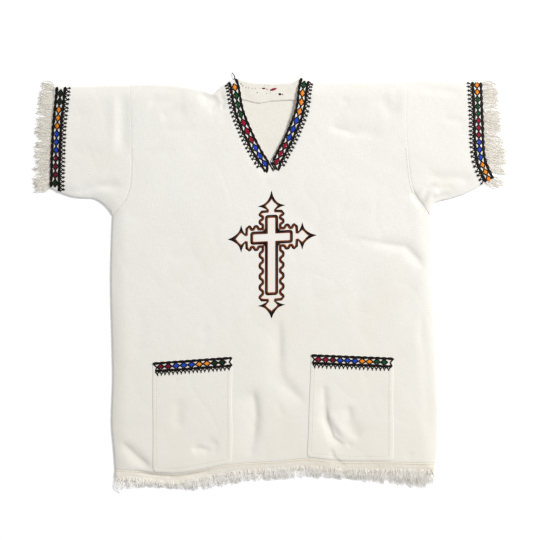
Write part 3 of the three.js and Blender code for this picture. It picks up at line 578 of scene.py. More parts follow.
def spun():
    """Threads side by side: sin(ridges * U + 2 pi V + fuzz), so ridges across a patch and a twist
    round a thread. Its shade follows the same ridges, darker in the grooves: painted shade."""
    nodes, given, end = new_group(
        "Spun thread", {"Ridges": 1500.0, "Relief": 0.5}, {"Shade": "Float", "Normal": "Vector"})
    axes = nodes.axes(nodes.add("UVMap").outputs["UV"])
    fuzz = nodes.noise(nodes.place(), 900.0, 2.0)["Fac"]
    turned = nodes.math("MULTIPLY_ADD", axes["Y"], 2 * math.pi, nodes.math("MULTIPLY", fuzz, 2.0))
    twist = nodes.math("SINE", nodes.math("MULTIPLY_ADD", axes["X"], given["Ridges"], turned))
    # painted shade: darker in the grooves of the twist, lighter on its ridges
    shade = nodes.math("MULTIPLY_ADD", twist, 0.3, 0.5)
    nodes.join(end, {"Shade": shade, "Normal": nodes.bump(twist, 0.0003, given["Relief"])})
    return nodes.tree


HANDWOVEN, SPUN = handwoven(), spun()
SATIN = 5200.0  # ridges of satin stitch, where a twisted thread has 1500
THREAD_SPECULAR = 0.12


def new_material(name, roughness, specular):
    """A material, the ways to add to it, and its Principled shader."""
    material = bpy.data.materials.new(name)
    material.use_nodes = True
    nodes = Nodes(material.node_tree)
    shader = nodes.tree.nodes["Principled BSDF"]
    nodes.join(shader, {"Roughness": roughness, "Specular IOR Level": specular})
    return material, nodes, shader


def cotton(name, light, dark, aged_and_shade, slubs=1.0, relief=0.35, shade_and_yellowing_below=None, sheen=0.12):
    """Handwoven cotton: yarns between a light and a darker tone, with soft patches of an older tone, and
    more of that tone below a given line: painted shade that darkens the cloth towards the hem, where the
    light falls off, with some yellowing there."""
    material, nodes, shader = new_material(name, 0.95, 0.15)
    weave = nodes.add("Group", {"Slubs": slubs, "Relief": relief}, node_tree=HANDWOVEN).outputs
    yarn = nodes.blend(weave["Shade"], linear(dark), linear(light))
    patches = nodes.carried(weave["Patches"], 0.48, 0.78, end=0.5)
    # painted shade: the older tone grows towards the hem below the given line, for the light's falloff
    # there, with some yellowing
    if shade_and_yellowing_below is not None:
        low, high = shade_and_yellowing_below
        lower = nodes.carried(nodes.axes(nodes.place())["Y"], low * MM, high * MM, 0.55, 0.0)
        patches = nodes.math("ADD", patches, lower, clamp=True)
    nodes.join(shader, {
        "Base Color": nodes.blend(patches, yarn, linear(aged_and_shade)), "Normal": weave["Normal"],
        "Sheen Weight": sheen, "Sheen Roughness": 0.6,
    })
    return material


def dyed(name, light, dark, ridges=1500.0, relief=0.5, fleck=None, roughness=0.55):
    """Embroidery thread: lighter on the twist's ridges and darker in its grooves, as painted shade, and
    flecks of another colour where it has any.
    """
    material, nodes, shader = new_material(name, roughness, THREAD_SPECULAR)
    thread = nodes.add("Group", {"Ridges": ridges, "Relief": relief}, node_tree=SPUN).outputs
    tone = nodes.blend(thread["Shade"], linear(dark), linear(light))
    if fleck:
        spots = nodes.noise(nodes.place(), 330.0, 1.0)["Fac"]
        tone = nodes.blend(nodes.carried(spots, 0.54, 0.66), tone, linear(fleck))
    nodes.join(shader, {"Base Color": tone, "Normal": thread["Normal"]})
    return material


def shaded_thread():
    """The cross's satin stitch: rust brown at the inner edge, turning black over a few millimetres of
    the piece's own V, along a border that the single stitches make ragged."""
    material, nodes, shader = new_material("cross satin", 0.5, THREAD_SPECULAR)
    thread = nodes.add("Group", {"Ridges": SATIN, "Relief": 0.6}, node_tree=SPUN).outputs
    axes = nodes.axes(nodes.add("UVMap").outputs["UV"])
    stitch = nodes.add("TexNoise", {"W": nodes.math("MULTIPLY", axes["X"], 900.0), "Scale": 1.0,
                                    "Detail": 2.0}, noise_dimensions="1D").outputs["Fac"]
    ragged = nodes.math("MULTIPLY_ADD", stitch, 0.0022, axes["Y"])
    edge, dark = nodes.carried(ragged, 0.0011, 0.0023), nodes.carried(ragged, 0.0034, 0.0052)
    rust, black = [nodes.blend(thread["Shade"], linear(low), linear(high))
                   for low, high in (("481b07", "803c14"), ("080404", "20100c"))]
    brown = nodes.blend(edge, linear("b46a30"), rust)
    nodes.join(shader, {"Base Color": nodes.blend(dark, brown, black), "Normal": thread["Normal"]})
    return material


# its older tone grows below y = 120 towards the hem: painted shade of the light's falloff, with some
# yellowing
COTTON = cotton("cotton", "f1efe9", "e5e2da", "e6e1d4", shade_and_yellowing_below=(-330, 120))
INSIDE = cotton("cotton inside", "eeebe1", "e1dcd0", "dcd5c3")
HEM_COTTON = cotton("hem cotton", "f3eee2", "e4ddce", "e0d6bf", slubs=1.5, relief=0.5)
LOOSE = cotton("loose yarn", "f4f0e7", "e3dccd", "ded6c5", slubs=0.6, relief=0.2, sheen=0.3)
# the loose yarn in lighter tones than LOOSE: a painted highlight that offsets the shade falling among the
# hem fringe's strands
LIGHTENED_HEM_YARN = cotton("loose hem yarn painted lighter", "fcfaf5", "f3eee4", "ebe4d6", slubs=0.6, relief=0.2, sheen=0.5)
SEWING = dyed("sewing thread", "ece4d2", "cfc4ac", relief=0.3, roughness=0.7)
BLACK = dyed("black thread", "1c1414", "070505")
RAIL = dyed("rail thread", "241616", "0a0606", fleck="4a1a22")
ORANGE = dyed("orange satin", "ff9828", "e87612", SATIN)
GREEN = dyed("green satin", "15572a", "0a351a", SATIN)
DARK_GREEN = dyed("dark green satin", "14331c", "0a1e10", SATIN)
RED = dyed("red satin", "ab1734", "780d22", SATIN)
DARK_RED = dyed("dark red satin", "811230", "4c0a1c", SATIN)
BLUE = dyed("blue satin", "2450cf", "14339e", SATIN)
SHADE = dyed("grey thread end", "a39c90", "7d766c", relief=0.2, roughness=0.8)
CROSS_SATIN = shaded_thread()
BAND_THREADS = [BLACK, RAIL, ORANGE, GREEN, DARK_GREEN, RED, DARK_RED, BLUE]
ORDER = {"orange": 2, "green": 3, "dark green": 4, "red": 5, "dark red": 6, "blue": 7}


# ---- cloth pieces ----
PITCH = 3.3  # of the points of the front
BACK_PITCH = 5.5
EDGE = (0, 0.3, 0.8, 1.5, 2.4)  # close rows where an edge rounds
POCKET_EDGE = (0, 0.4, 1, 1.8)  # the same for the pockets
BODY_SPAN = 300  # half the body's width, along which its columns are spaced
SLEEVE_SPAN = 150
POCKET_SPAN = (150, 200)
STEP = {"left": 0.4, "right": 0.04, "upper": 0.12}  # down from the front to a sleeve
SLEEVE_DIP = {"left": 0.25, "right": 0.65, "upper": 0.2}  # of a sleeve beside the armhole
STEP_FADE = (210, 270)  # levels between which a side's own step turns into the upper one
SEAM_FADE = 14  # above the underarm, over which the side seam turns into the armhole
SLEEVE_TUCK = (3.0, 1.05)  # how far its first column goes in under the front, and down
POCKET_CLOTH = 0.55
POCKET_LIFT = 0.72  # of its upper face over the front
DOUBLED = (7.5, 9.5)  # distances from a pocket's edge over which its doubled rim ends
GROOVES = ((7, 1.3, 0.15), (1.8, 1, 0.12))  # at its seams: distance from the edge, width, depth
FACING_CLOTH = 0.6
FACING_SPAN = 34
FACING_COLUMNS = 44
FACING_FOOT = 350  # level of its lower edge
SLEEVE_OVER = 0.3  # how far the fold and the lower layer reach past the upper one


def spaced(low, high, pitch, first=(0,), last=(0,)):
    """Places from low to high: given distances from each end, and even ones between."""
    first, last = low + np.asarray(first, float), high - np.asarray(last, float)[::-1]
    count = max(int(round((last[0] - first[-1]) / pitch)), 1)
    return np.concatenate([first[:-1], np.linspace(first[-1], last[0], count + 1), last[1:]])


def body_grid(across, levels, split=True):
    """Both halves of the body as one grid in plan, parted above the apex where it is split. Gives x,
    y, side distance and level of each point, and the faces."""
    rows, columns = len(levels), len(across)
    index = np.arange(2 * rows * columns).reshape(2, rows, columns)
    joined = (levels <= APEX) | (not split)
    index[1, joined, 0] = index[0, joined, -1]
    level = np.broadcast_to(levels[:, None], (rows, columns))
    halves = []
    for side, order in zip(SIDES, (across, across[::-1])):
        x, y = body_point(side, order[None], level)
        halves.append(points_of(x, y, np.abs(x - outer_x(side, level)), level).reshape(-1, 4))
    faces = np.concatenate([grid_faces(rows, columns, half) for half in index])
    used, renumbered = np.unique(faces, return_inverse=True)
    return *np.concatenate(halves)[used].T, renumbered.reshape(faces.shape)


def cloth(name, node, x, y, high, faces, material=COTTON, thickness=CLOTH):
    """A piece of cloth: its two faces, the lower one straight below the upper, and its edges."""
    points, faces = wall(points_of(x, y, high), points_of(x, y, high - thickness), faces)
    return make(name, node, points, faces, [material])


def front_panel():
    """The front: the height of top(), rounded down to its seams at sides and shoulders, with a small
    step at armholes, V and hem."""
    across = spaced(0, BODY_SPAN, PITCH, EDGE, (0, 0.6, 1.4)) / BODY_SPAN
    levels = np.concatenate([
        spaced(HEM, UNDERARM, PITCH, (0, 0.6, 1.4)),
        spaced(UNDERARM, APEX, PITCH)[1:],
        spaced(APEX, SHOULDER_LEVEL, PITCH, last=EDGE)[1:],
    ])
    x, y, to_side, level, faces = body_grid(across, levels)
    z = top(x, y)
    sewn = mix(SEAM_TOP, z, rolled(to_side))
    step = mix(np.where(x < 0, STEP["left"], STEP["right"]), STEP["upper"], smoothstep(level, *STEP_FADE))
    z = mix(sewn, z - step * edged(to_side), smoothstep(level, UNDERARM, UNDERARM + SEAM_FADE))
    z = mix(SEAM_TOP, z, rolled(shoulder_y(x) - y))
    z = z - 0.6 * edged(nearest(V_EDGE, x, y)[0]) - 0.2 * edged(y - hem_y(x))
    return cloth("front_cloth", "front_panel", x, y, z, faces)


def back_top(x, y):
    """Height of the back's upper face: near the floor, with folds that rise off it."""
    rise = folded(x, y, BACK_CREASES) + 0.35 * (1 + crumple(x, y, seed=30))
    return BACK_TOP + np.maximum(rise, 0) * 0.8


def back_neck_y(x):
    """The top edge of the back: the shoulder line, and the back neckline between the shoulders."""
    inside = (x > BACK_NECK["x"][0]) & (x < BACK_NECK["x"][-1])
    return np.where(inside, read(BACK_NECK, "x", "y", x), shoulder_y(x))


def back_panel():
    """The back: nearly flat on the floor, up to shoulders and back neckline. Above the apex its
    columns run on to the middle, where the front is open."""
    across = spaced(0, BODY_SPAN, BACK_PITCH, (0, 1.5)) / BODY_SPAN
    levels = spaced(HEM, SHOULDER_LEVEL, BACK_PITCH, last=(0, 1.5, 3))
    x, y, to_side, level, faces = body_grid(across, levels, split=False)
    inner, on_left = level > APEX, x < 0
    for side, half in zip(SIDES, (inner & on_left, inner & ~on_left)):
        edge, neck = outer_x(side, level), read(NECK, "y", side, level)
        x[half] = mix(edge, 0, (x - edge) / (neck - edge))[half]
    lift = (back_neck_y(x) - SHOULDER_LEVEL) * smoothstep(level, *SHOULDER_BEND)
    y[inner] = (level + lift)[inner]
    edge = np.minimum(rolled(to_side), rolled(back_neck_y(x) - y))
    z = mix(BACK_TOP, back_top(x, y), smoothstep(edge, 0, 1))
    return cloth("back_cloth", "back_panel", x, y, z, faces, INSIDE)


def on_facing(x, y):
    """Height of the facing's upper face."""
    return 2.35 + 0.3 * noise(x, y, 24, 5) + 0.15 * noise(x, y, 9, 6)


def neck_facing():
    """The facing inside the back neck, from its wavy lower edge up to the neckline, where it folds
    over. It reaches a little under the edges of the V."""
    up = spaced(0, FACING_SPAN, 1.6, (0, 0.5, 1.2), (0, 0.5, 1.2, 2.4)) / FACING_SPAN
    faces = grid_faces(len(up), FACING_COLUMNS)
    share, up = [v.ravel() for v in np.meshgrid(np.linspace(0, 1, FACING_COLUMNS), up)]
    level = mix(FACING_FOOT, SHOULDER_LEVEL, up)
    tuck = 3.5 * (1 - smoothstep(up, 0.5, 1)) - 0.8
    x = mix(read(NECK, "y", "left", level) - tuck, read(NECK, "y", "right", level) + tuck, share)
    low = read(FACING_HEM, "x", "y", x) + 0.7 * noise(x, 0 * x, 6, 3)
    high = read(BACK_NECK, "x", "y", x)
    y = mix(low, high, up)
    z = on_facing(x, y) - 0.45 * edged((y - low) * 1.5) - 0.5 * edged(high - y)
    return cloth("facing_cloth", "neck_facing", x, y, z, faces, INSIDE, FACING_CLOTH)


def sleeve(side):
    """A tube laid flat: upper layer, half-round fold on top, lower layer on the floor. Its armhole
    edge is tucked under the body's, and it is thin along the underarm seam."""
    sign = SIGN[side]
    along = spaced(0, SLEEVE_SPAN, PITCH, (0.2, 0.7, 1.5, 2.6), (0, 0.8)) / SLEEVE_SPAN
    along = np.concatenate([[0], along])
    tucked = np.arange(len(along)) == 0
    levels = spaced(UNDERARM, SHOULDER_LEVEL - 2.2, PITCH, first=EDGE)
    outer, inner = [], []
    for level in levels:
        x, y = sleeve_point(side, along, level)
        under = read(UNDERARM_SEAMS[side], "x", "y", x)
        z = mix(SEAM_TOP, top(x, y), rolled(np.maximum(y - under, (level - UNDERARM) * 0.9)))
        dip = mix(SLEEVE_DIP[side], SLEEVE_DIP["upper"], smoothstep(level, *STEP_FADE))
        z = z - dip * edged(along * SLEEVE_SPAN)
        tuck = SLEEVE_TUCK[0] * smoothstep(level, UNDERARM + 2, UNDERARM + SEAM_FADE)
        x = x - sign * np.where(tucked, tuck, -0.15)
        z = np.maximum(z - np.where(tucked, SLEEVE_TUCK[1], 0), SEAM_TOP)
        outer.append(points_of(x, y, z))
        inner.append(points_of(x, y, z - CLOTH))
    x, y = sleeve_point(side, along, SHOULDER_LEVEL)
    x, bend = x + sign * SLEEVE_OVER, EDGE_TOP / 2
    y = y - bend + 0.25 * noise(x, 0 * x, 21, 8)
    for angle in np.linspace(math.pi / 2, -math.pi / 2, 7):
        out, up = math.cos(angle), math.sin(angle)
        outer.append(points_of(x, y + bend * out, bend + (bend - 0.04) * up))
        inner.append(points_of(x, y + (bend - CLOTH) * out, bend + (bend - CLOTH) * up))
    for level in levels[::-1]:
        x, y = sleeve_point(side, along, level)
        x = x + sign * SLEEVE_OVER
        lift = 0.05 + 0.35 * (1 + noise(x, y, 40, 12)) * smoothstep(level, UNDERARM, UNDERARM + 20)
        lift = lift * (1 - smoothstep(level, SHOULDER_LEVEL - 16, SHOULDER_LEVEL - 2)) + 0.02
        outer.append(points_of(x, y, lift))
        inner.append(points_of(x, y, lift + CLOTH))
    faces = grid_faces(len(outer), len(along))[:, ::sign]
    points, faces = wall(np.concatenate(outer), np.concatenate(inner), faces)
    return make(f"sleeve_{side}_cloth", f"sleeve_{side}", points, faces, [COTTON])


def pocket_height(side, x):
    """Heights of a pocket's foot and top edge at x."""
    (left, right), tops = POCKETS[side]["edges"], POCKETS[side]["tops"]
    return hem_y(x) + POCKET_FOOT, mix(*tops, (x - left) / (right - left))


def pocket_point(side, share, up, inset=0):
    """A pocket's point at a share of its width and of its height, its left edge sloping to its foot."""
    left, right = POCKETS[side]["edges"]
    left = mix(POCKETS[side]["foot_left"], left, up)
    x = mix(left + inset, right - inset, share)
    foot, head = pocket_height(side, x)
    return x, mix(foot, head, up)


def pocket(side):
    """A patch pocket on the front's own relief, doubled over at its edges, with round lower corners
    and a shallow groove where it is sewn down."""
    wide, tall = POCKET_SPAN
    share = spaced(0, wide, 1.9, POCKET_EDGE, POCKET_EDGE) / wide
    up = spaced(0, tall, 2.1, (*POCKET_EDGE, 3, 4.5), (0, 0.4, 1)) / tall
    faces = grid_faces(len(up), len(share))
    share, up = [v.ravel() for v in np.meshgrid(share, up)]
    into = np.clip(POCKET_CORNER - up * tall, 0, POCKET_CORNER)
    inset = POCKET_CORNER - np.sqrt(POCKET_CORNER ** 2 - into ** 2)
    x, y = pocket_point(side, share, up, inset)
    x = x + 0.7 * noise(60 * (share > 0.5), y, 60, 15)
    foot, head = pocket_height(side, x)
    left, right = POCKETS[side]["edges"]
    to_edge = np.minimum(np.minimum(share, 1 - share) * (right - left), y - foot)
    doubled = 0.12 * (1 - smoothstep(to_edge, *DOUBLED))
    groove = sum(deep * np.exp(-((to_edge - at) / width) ** 2) for at, width, deep in GROOVES)
    z = top(x, y) + POCKET_LIFT + doubled - groove - 0.5 * edged(to_edge * 0.65) - 0.2 * edged(head - y)
    z = z - 0.15 * (1 - smoothstep((1 - share) * (right - left), 0, 12))
    return cloth(f"pocket_{side}_cloth", f"pocket_{side}", x, y, z, faces, thickness=POCKET_CLOTH)


def hem_band(face):
    """The strip sewn along the hem, doubled, so it stands a little over the body's cloth."""
    across = spaced(0, BODY_SPAN, PITCH if face == "front" else 6, EDGE) / BODY_SPAN
    levels = spaced(HEM - HEM_BAND, HEM - 0.2, 2.2, last=(0, 0.5, 1.2))
    x, y, to_side, level, faces = body_grid(across, levels)
    if face == "front":
        z = top(x, y) + 0.12 - 0.2 * edged(HEM - level) + 0.2 * noise(x, y, 16, 21)
        z = mix(SEAM_TOP, z, rolled(to_side))
    else:
        z = BACK_TOP + 0.1 * (1 + noise(x, y, 30, 22))
    node = f"hem_band_{face}"
    return cloth(f"{node}_cloth", node, x, y, z, faces, HEM_COTTON)


# ---- embroidery ----
EASE = 0.07  # share of an edge over which a band evens out the edge's direction
STATIONS = 600  # points along a band's strip
RAIL_HALF = 2.75
SLEEVE_RAIL_HALF = 3.15
RAIL_THICK = 0.4  # half the height of its threads
RAIL_TURN = 24  # length over which its strands wind round once
PICOT_PITCH = 7.5
DOME = 0.55  # height of a satin patch
PATCH_SIDES = 20


def looked_up(at, keys, table):
    """A table of points, read at places between its keys."""
    return points_of(*[np.interp(at, keys, column) for column in table.T])


class Strip:
    """A strip beside an edge: s runs along it and t away from it, at P(s) + t N(s), where N is the
    normal to the edge's direction evened out over a share of its length."""

    def __init__(self, edge, turn, ease=EASE):
        edge = np.asarray(edge, float)
        run = np.concatenate([[0], np.cumsum(np.linalg.norm(np.diff(edge, axis=0), axis=1))])
        self.length = run[-1]
        self.s = np.linspace(0, self.length, STATIONS)
        behind, ahead = [looked_up(np.clip(self.s + reach, 0, self.length), run, edge)
                         for reach in (-ease * self.length, ease * self.length)]
        self.edge = looked_up(self.s, run, edge)
        self.tangent = (ahead - behind) / np.linalg.norm(ahead - behind, axis=1, keepdims=True)
        self.normal = square_to(self.tangent) * turn

    def at(self, s, t):
        """Points at s along and t away; past either end the strip runs straight on."""
        s, t = np.broadcast_arrays(np.asarray(s, float), np.asarray(t, float))
        inside = np.clip(s, 0, self.length)
        edge, normal, tangent = [looked_up(inside, self.s, table)
                                 for table in (self.edge, self.normal, self.tangent)]
        return edge + normal * t[..., None] + tangent * (s - inside)[..., None]

    def nearest(self, place):
        """The s whose edge point is nearest along the strip's own direction."""
        away = np.asarray(place, float) - self.edge
        return self.s[np.argmin(np.abs((away * self.tangent).sum(axis=1)))]


def laid(points, surface, lift):
    """Points in plan, put on a surface and lifted off it."""
    z = surface(points[..., 0], points[..., 1]) + lift
    return np.concatenate([points, np.broadcast_to(z, points.shape[:-1])[..., None]], axis=-1)


def braid(stitches, path, surface, half=RAIL_HALF):
    """A rail: a plain thread with two strands wound round it, which swing across it as
    +-A sin(2 pi s / wave) and cross over and under."""
    strip = Strip(path, 1, ease=0.01)
    s = np.linspace(0, strip.length, max(int(strip.length / 1.1), 8))
    turn = 2 * np.pi * s / min(RAIL_TURN, strip.length)
    ends = np.minimum(1, 0.3 + np.minimum(s, strip.length - s) / 3)
    core = laid(strip.at(s, 0), surface, RAIL_THICK)
    stitches.threads([core], half * 0.62 * ends, RAIL_THICK, 1)
    for sign in (1, -1):
        points = strip.at(s, sign * half * 0.4 * np.sin(turn))
        lift = 0.45 + sign * 0.14 * np.cos(turn)
        stitches.threads([laid(points, surface, lift)], half * 0.6 * ends, RAIL_THICK)


def satin(stitches, centres, direction, half_length, half_width, finish, surface):
    """Satin patches: the outline |a / length|^p + |b / width|^p = 1, between a diamond and an oval,
    domed as sqrt(1 - r^2), with one point in the middle."""
    angle = np.linspace(0, 2 * np.pi, PATCH_SIDES, endpoint=False)
    power = 2 / 1.35
    rings = np.array([0.35, 0.65, 0.87, 1.0])[:, None]
    a, b = [np.concatenate([[0], (rings * np.sign(v) * np.abs(v) ** power).ravel()])
            for v in (np.cos(angle), np.sin(angle))]
    r = np.concatenate([[0], np.repeat(rings.ravel(), PATCH_SIDES)])
    along = half_length[:, None] * a
    plan = (centres[:, None] + direction[:, None] * along[..., None]
            + square_to(direction)[:, None] * (half_width[:, None] * b)[..., None])
    points = laid(plan, surface, DOME * np.sqrt(1 - 0.98 * r ** 2) - 0.06)
    ring = 1 + np.arange(len(rings) * PATCH_SIDES).reshape(-1, PATCH_SIDES)
    turned = np.roll(ring, -1, axis=1)
    walls = np.stack([ring[:-1], ring[1:], turned[1:], turned[:-1]], axis=-1).reshape(-1, 4)
    middle = points_of(0, ring[0], turned[0])
    for k, place in enumerate(points):
        stitches.add(place, [walls, middle], finish[k], points_of(along[k] * MM, 0))


def lozenges(stitches, strip, first, last, colours, middle, half_width, surface, keep):
    """Satin lozenges along a strip, and two opposite zigzag threads that cross between them."""
    s = np.linspace(strip.nearest(first), strip.nearest(last), len(colours))
    pitch = s[1] - s[0]
    rng = np.random.default_rng(len(s) + int(pitch * 10))
    lean = rng.uniform(-0.12, 0.12, (len(s), 1))
    direction = looked_up(s, strip.s, strip.tangent)
    direction = direction + square_to(direction) * lean
    size = rng.uniform(0.88, 1.06, (2, len(s))) * np.array([[pitch * 0.49], [half_width * 0.82]])
    size = size * np.where([c == "dark green" for c in colours], 1.14, 1)
    centres = strip.at(s, middle + rng.uniform(-0.4, 0.4, len(s)))
    satin(stitches, centres, direction, *size, [ORDER[c] for c in colours], surface)
    turns = np.arange(-1, len(s) + 1)
    swing = (half_width + 0.9) * (-1.0) ** turns
    along = np.linspace(s[0] - pitch / 2, s[-1] + pitch / 2, len(s) * 10 + 1)
    for sign in (1, -1):
        path = strip.at(along, middle + sign * np.interp(along, s[0] + pitch * turns, swing))
        path = path[keep(path[:, 0], path[:, 1])]
        stitches.threads([laid(path, surface, 0.34 + 0.06 * sign)], 1.2, 0.34)


def picots(stitches, strip, low, high, base, reach, surface, keep, branches=True):
    """Edging outside the outer rail: a zigzag thread, and at each outer point a tapered tail with
    two short branches."""
    count = int((high - low) / PICOT_PITCH)
    feet = low + (high - low) * np.arange(count + 1) / count
    rng = np.random.default_rng(count)
    points = (feet[:-1] + feet[1:]) / 2 + rng.uniform(-0.6, 0.6, count)
    node = base + reach * 0.54
    share = np.linspace(0, 1, 5)[None]

    def lay(s, t, width, height):
        path = strip.at(s, t)
        path = path[keep(path[..., 0], path[..., 1]).all(axis=1)]
        stitches.threads(laid(path, surface, height), width, height)

    for begin, end, outwards in ((feet[:-1], points, share), (points, feet[1:], 1 - share)):
        s = begin[:, None] + (end - begin)[:, None] * share
        lay(s, mix(base - 0.6, node, outwards), 1.08, 0.34)
    lean, longer = rng.uniform(-1.1, 1.1, (count, 1)), rng.uniform(-0.7, 0.5, (count, 1))
    s = points[:, None] + lean * share
    lay(s, node - 0.4 + (reach * 0.46 + longer) * share, (1.35, 1.3, 1.15, 0.9, 0.5), 0.36)
    for sign in (-1, 1) if branches else ():
        s = points[:, None] + sign * (0.3 + 2.2 * share) + lean * 0.3
        lay(s, node + 0.2 + 1.7 * share, (0.95, 0.95, 0.85, 0.7, 0.45), 0.32)


def between(points, count):
    """Points with even steps on each straight stretch of a line."""
    points = np.asarray(points, float)
    share = np.linspace(0, 1, count, endpoint=False)[:, None]
    parts = [mix(a, b, share) for a, b in zip(points[:-1], points[1:])]
    return np.concatenate(parts + [points[-1:]])


def clipped(strip, t, keep, low, high):
    """The stretch of a line at t along a strip, from low to high, for which keep is true."""
    s = np.linspace(low, high, 500)
    points = strip.at(s, t)
    return points[keep(points[:, 0], points[:, 1])]


# ---- where each band runs: first and last lozenge, and their colours from top or left ----
def repeated(*runs):
    """A row of colours from (name, times) pairs."""
    return [name for name, times in runs for _ in range(times)]


LOZENGES = {
    "neck_band_left": ((-69.7, 375.7), (-11.2, 230.7),
                       repeated(("orange", 1), ("green", 3), ("red", 3), ("blue", 3))),
    "neck_band_right": ((63.6, 380.5), (12.9, 234.4),
                        repeated(("green", 1), ("orange", 3), ("blue", 3), ("red", 3))),
    "sleeve_band_left": ((-411, 365.5), (-418, 194.5), repeated(
        ("dark green", 2), ("orange", 3), ("blue", 3), ("dark red", 3), ("dark green", 1))),
    "sleeve_band_right": ((392.4, 380.5), (419, 204.9), repeated(
        ("orange", 2), ("green", 3), ("red", 3), ("blue", 3), ("orange", 3))),
    "pocket_band_left": ((-208.6, -152), (-92, -138),
                         repeated(("dark red", 2), ("blue", 3), ("orange", 2), ("dark green", 2))),
    "pocket_band_right": ((90.8, -135), (215.7, -143),
                          repeated(("red", 2), ("dark red", 1), ("blue", 3), ("orange", 2), ("green", 2))),
}
TOES = {  # points past the lower ends of the inner and the outer rail
    "left": (((-5.6, 227.5), (-7.2, 213.4)), ((-9.6, 215.5),)),
    "right": ((), ((15.4, 217.6),)),
}
CROSSINGS = {  # rails that cross under the V's point: their two ends and half width
    "left": (((-3.6, 233.8), (6.2, 216.4), 1.5), ((0.2, 235.0), (9.2, 218.6), 1.5)),
    "right": (((3.6, 235.2), (13.6, 218.4), 1.9),),
}
NECK_TAIL = ((-69.6, 391.4, 3.2), (-67.6, 396.2, 3.4), (-70.4, 401.2, 2.6), (-73.8, 405.2, 1.6))
NECK_TAIL_HALF = (1.1, 1.0, 0.85, 0.6)  # half widths of that loose thread end at the shoulder
POCKET_BAND_ENDS = {  # how far each rail stays from the pocket's left and right edge
    "left": ((0.5, 4.5), (0.5, 1)), "right": ((0.5, 3), (-1, 1.5)),
}
RAILS = (2.9, 17.5)  # centres of the two rails, from the edge
SLEEVE_RAILS = (2.9, 18.5)
ABOVE_POCKET = 0.84  # top of the pocket's doubled edge over the front


def middle_of(rails):
    return (rails[0] + rails[1]) / 2


def finished_band(stitches, node, strip, keep, rails, surface, past, reach, slack=0, branches=True):
    """A band's lozenges between its two rails and its picots past the outer one, and all as a piece.
    The picots run from and to as far past the strip's ends as past gives."""
    half = (rails[1] - rails[0]) / 2 - RAIL_HALF - slack
    lozenges(stitches, strip, *LOZENGES[node], middle_of(rails), half, surface, keep)
    picots(stitches, strip, -past[0], strip.length + past[1], rails[1] + 2, reach, surface, keep, branches)
    return stitches.make(f"{node}_stitches", node, BAND_THREADS, "band_thread")


def on_pocket(x, y):
    return on_front(x, y) + ABOVE_POCKET


def neck_band(side):
    """Band down one edge of the V, to the toes that meet under its point."""
    level = np.linspace(SHOULDER_LEVEL, APEX, 200)
    strip = Strip(points_of(*body_point(side, 1, level)), SIGN[side])
    keep = lambda x, y: y < shoulder_y(x) - 0.8
    stitches = Stitches()
    for t, end, toe in zip(RAILS, (4, 8), TOES[side]):
        path = clipped(strip, t, keep, -12, strip.length - end)
        braid(stitches, np.concatenate([path, np.reshape(toe, (-1, 2))]), on_front)
    for start, end, half in CROSSINGS[side]:
        braid(stitches, np.linspace(start, end, 24), on_front, half)
    if side == "left":
        stitches.threads([NECK_TAIL], NECK_TAIL_HALF, RAIL_THICK)
    return finished_band(stitches, f"neck_band_{side}", strip, keep, RAILS, on_front, (4, -3), 9.4)


def sleeve_band(side):
    """Band along a sleeve's open end, on the layer that shows."""
    low, high = CUFF_ENDS[side]
    y = np.linspace(high, low, 200)
    lean = 3 * smoothstep(y, 290, 380) if side == "left" else 0
    strip = Strip(points_of(read(CUFFS[side], "y", "x", y) + lean, y), -SIGN[side])

    def keep(x, y):
        under = read(UNDERARM_SEAMS[side], "x", "y", x)
        return (y < shoulder_y(x) - 1.4) & (y > under + 1.4)

    stitches = Stitches()
    for t in SLEEVE_RAILS:
        braid(stitches, clipped(strip, t, keep, -6, strip.length + 8), on_front, SLEEVE_RAIL_HALF)
    return finished_band(stitches, f"sleeve_band_{side}", strip, keep, SLEEVE_RAILS, on_front, (2, 8), 10,
                         slack=0.7)


def pocket_band(side):
    """Band along the top of a pocket, with plain tails below it."""
    (left, right), tops = POCKETS[side]["edges"], POCKETS[side]["tops"]
    strip = Strip(points_of(np.linspace(left, right, 200), np.linspace(*tops, 200)), -1)
    keep = lambda x, y: (x > left - 0.5) & (x < right + 0.5)
    stitches = Stitches()
    starts, stops = POCKET_BAND_ENDS[side]
    for t, low, high in zip(RAILS, starts, stops):
        braid(stitches, clipped(strip, t, keep, low, strip.length - high), on_pocket)
    for at, inwards in zip((starts, strip.length - np.array(stops)), (5, -5)):
        s, t = (at[0], (at[0] + at[1]) / 2 + inwards, at[1]), (RAILS[0], middle_of(RAILS), RAILS[1])
        stitches.threads([laid(between(strip.at(s, t), 8), on_pocket, 0.36)], 1.3, 0.34)
    return finished_band(stitches, f"pocket_band_{side}", strip, keep, RAILS, on_pocket, (-4, -4), 8.0,
                         branches=False)


# ---- the cross ----
CROSS = {"x": 2, "y": 91, "rise": 0.049}  # rise: of the side arms, for each unit to the right
CROSS_ARMS = (  # direction, reach from crossing to finial, the finial's length, scallops a side
    (0, 47.8, 38.5, 2), (90, 49.3, 40, 2), (180, 47.2, 36, 2), (270, 118.5, 36, 5),
)
BORDER = 19.25  # from an arm's middle to that of the scalloped line
WAVE = 2.9
LOBE = 1.5  # how square the scallops are
ARCH = 0.62  # height of the satin stitch
FLAT = 6  # from a corner of the border to where its scallops begin
BORDER_HALF = 2.75  # half the width of the line
PEAK_BACK = 4
FINIAL = {  # (along past the plate, sideways): plate, neck, neck, barb, and bow towards the tip
    "outer": ((2.4, 19.5), (2.7, 10.5), (3.2, 9), (10.4, 26.5), (14.7, 14.2), (25, 5)),
    "inner": ((-2.8, 15.5), (-2.2, 5.5), (2.6, 4.2), (10.4, 11), (13.4, 8.4), (17.3, 4)),
}
TIP = {"outer": 1, "inner": 0.575}  # shares of the finial's length
HEART = {"stem": 12.6, "arm": 40.5, "head": 42.8, "foot": 110, "line": 5.8}
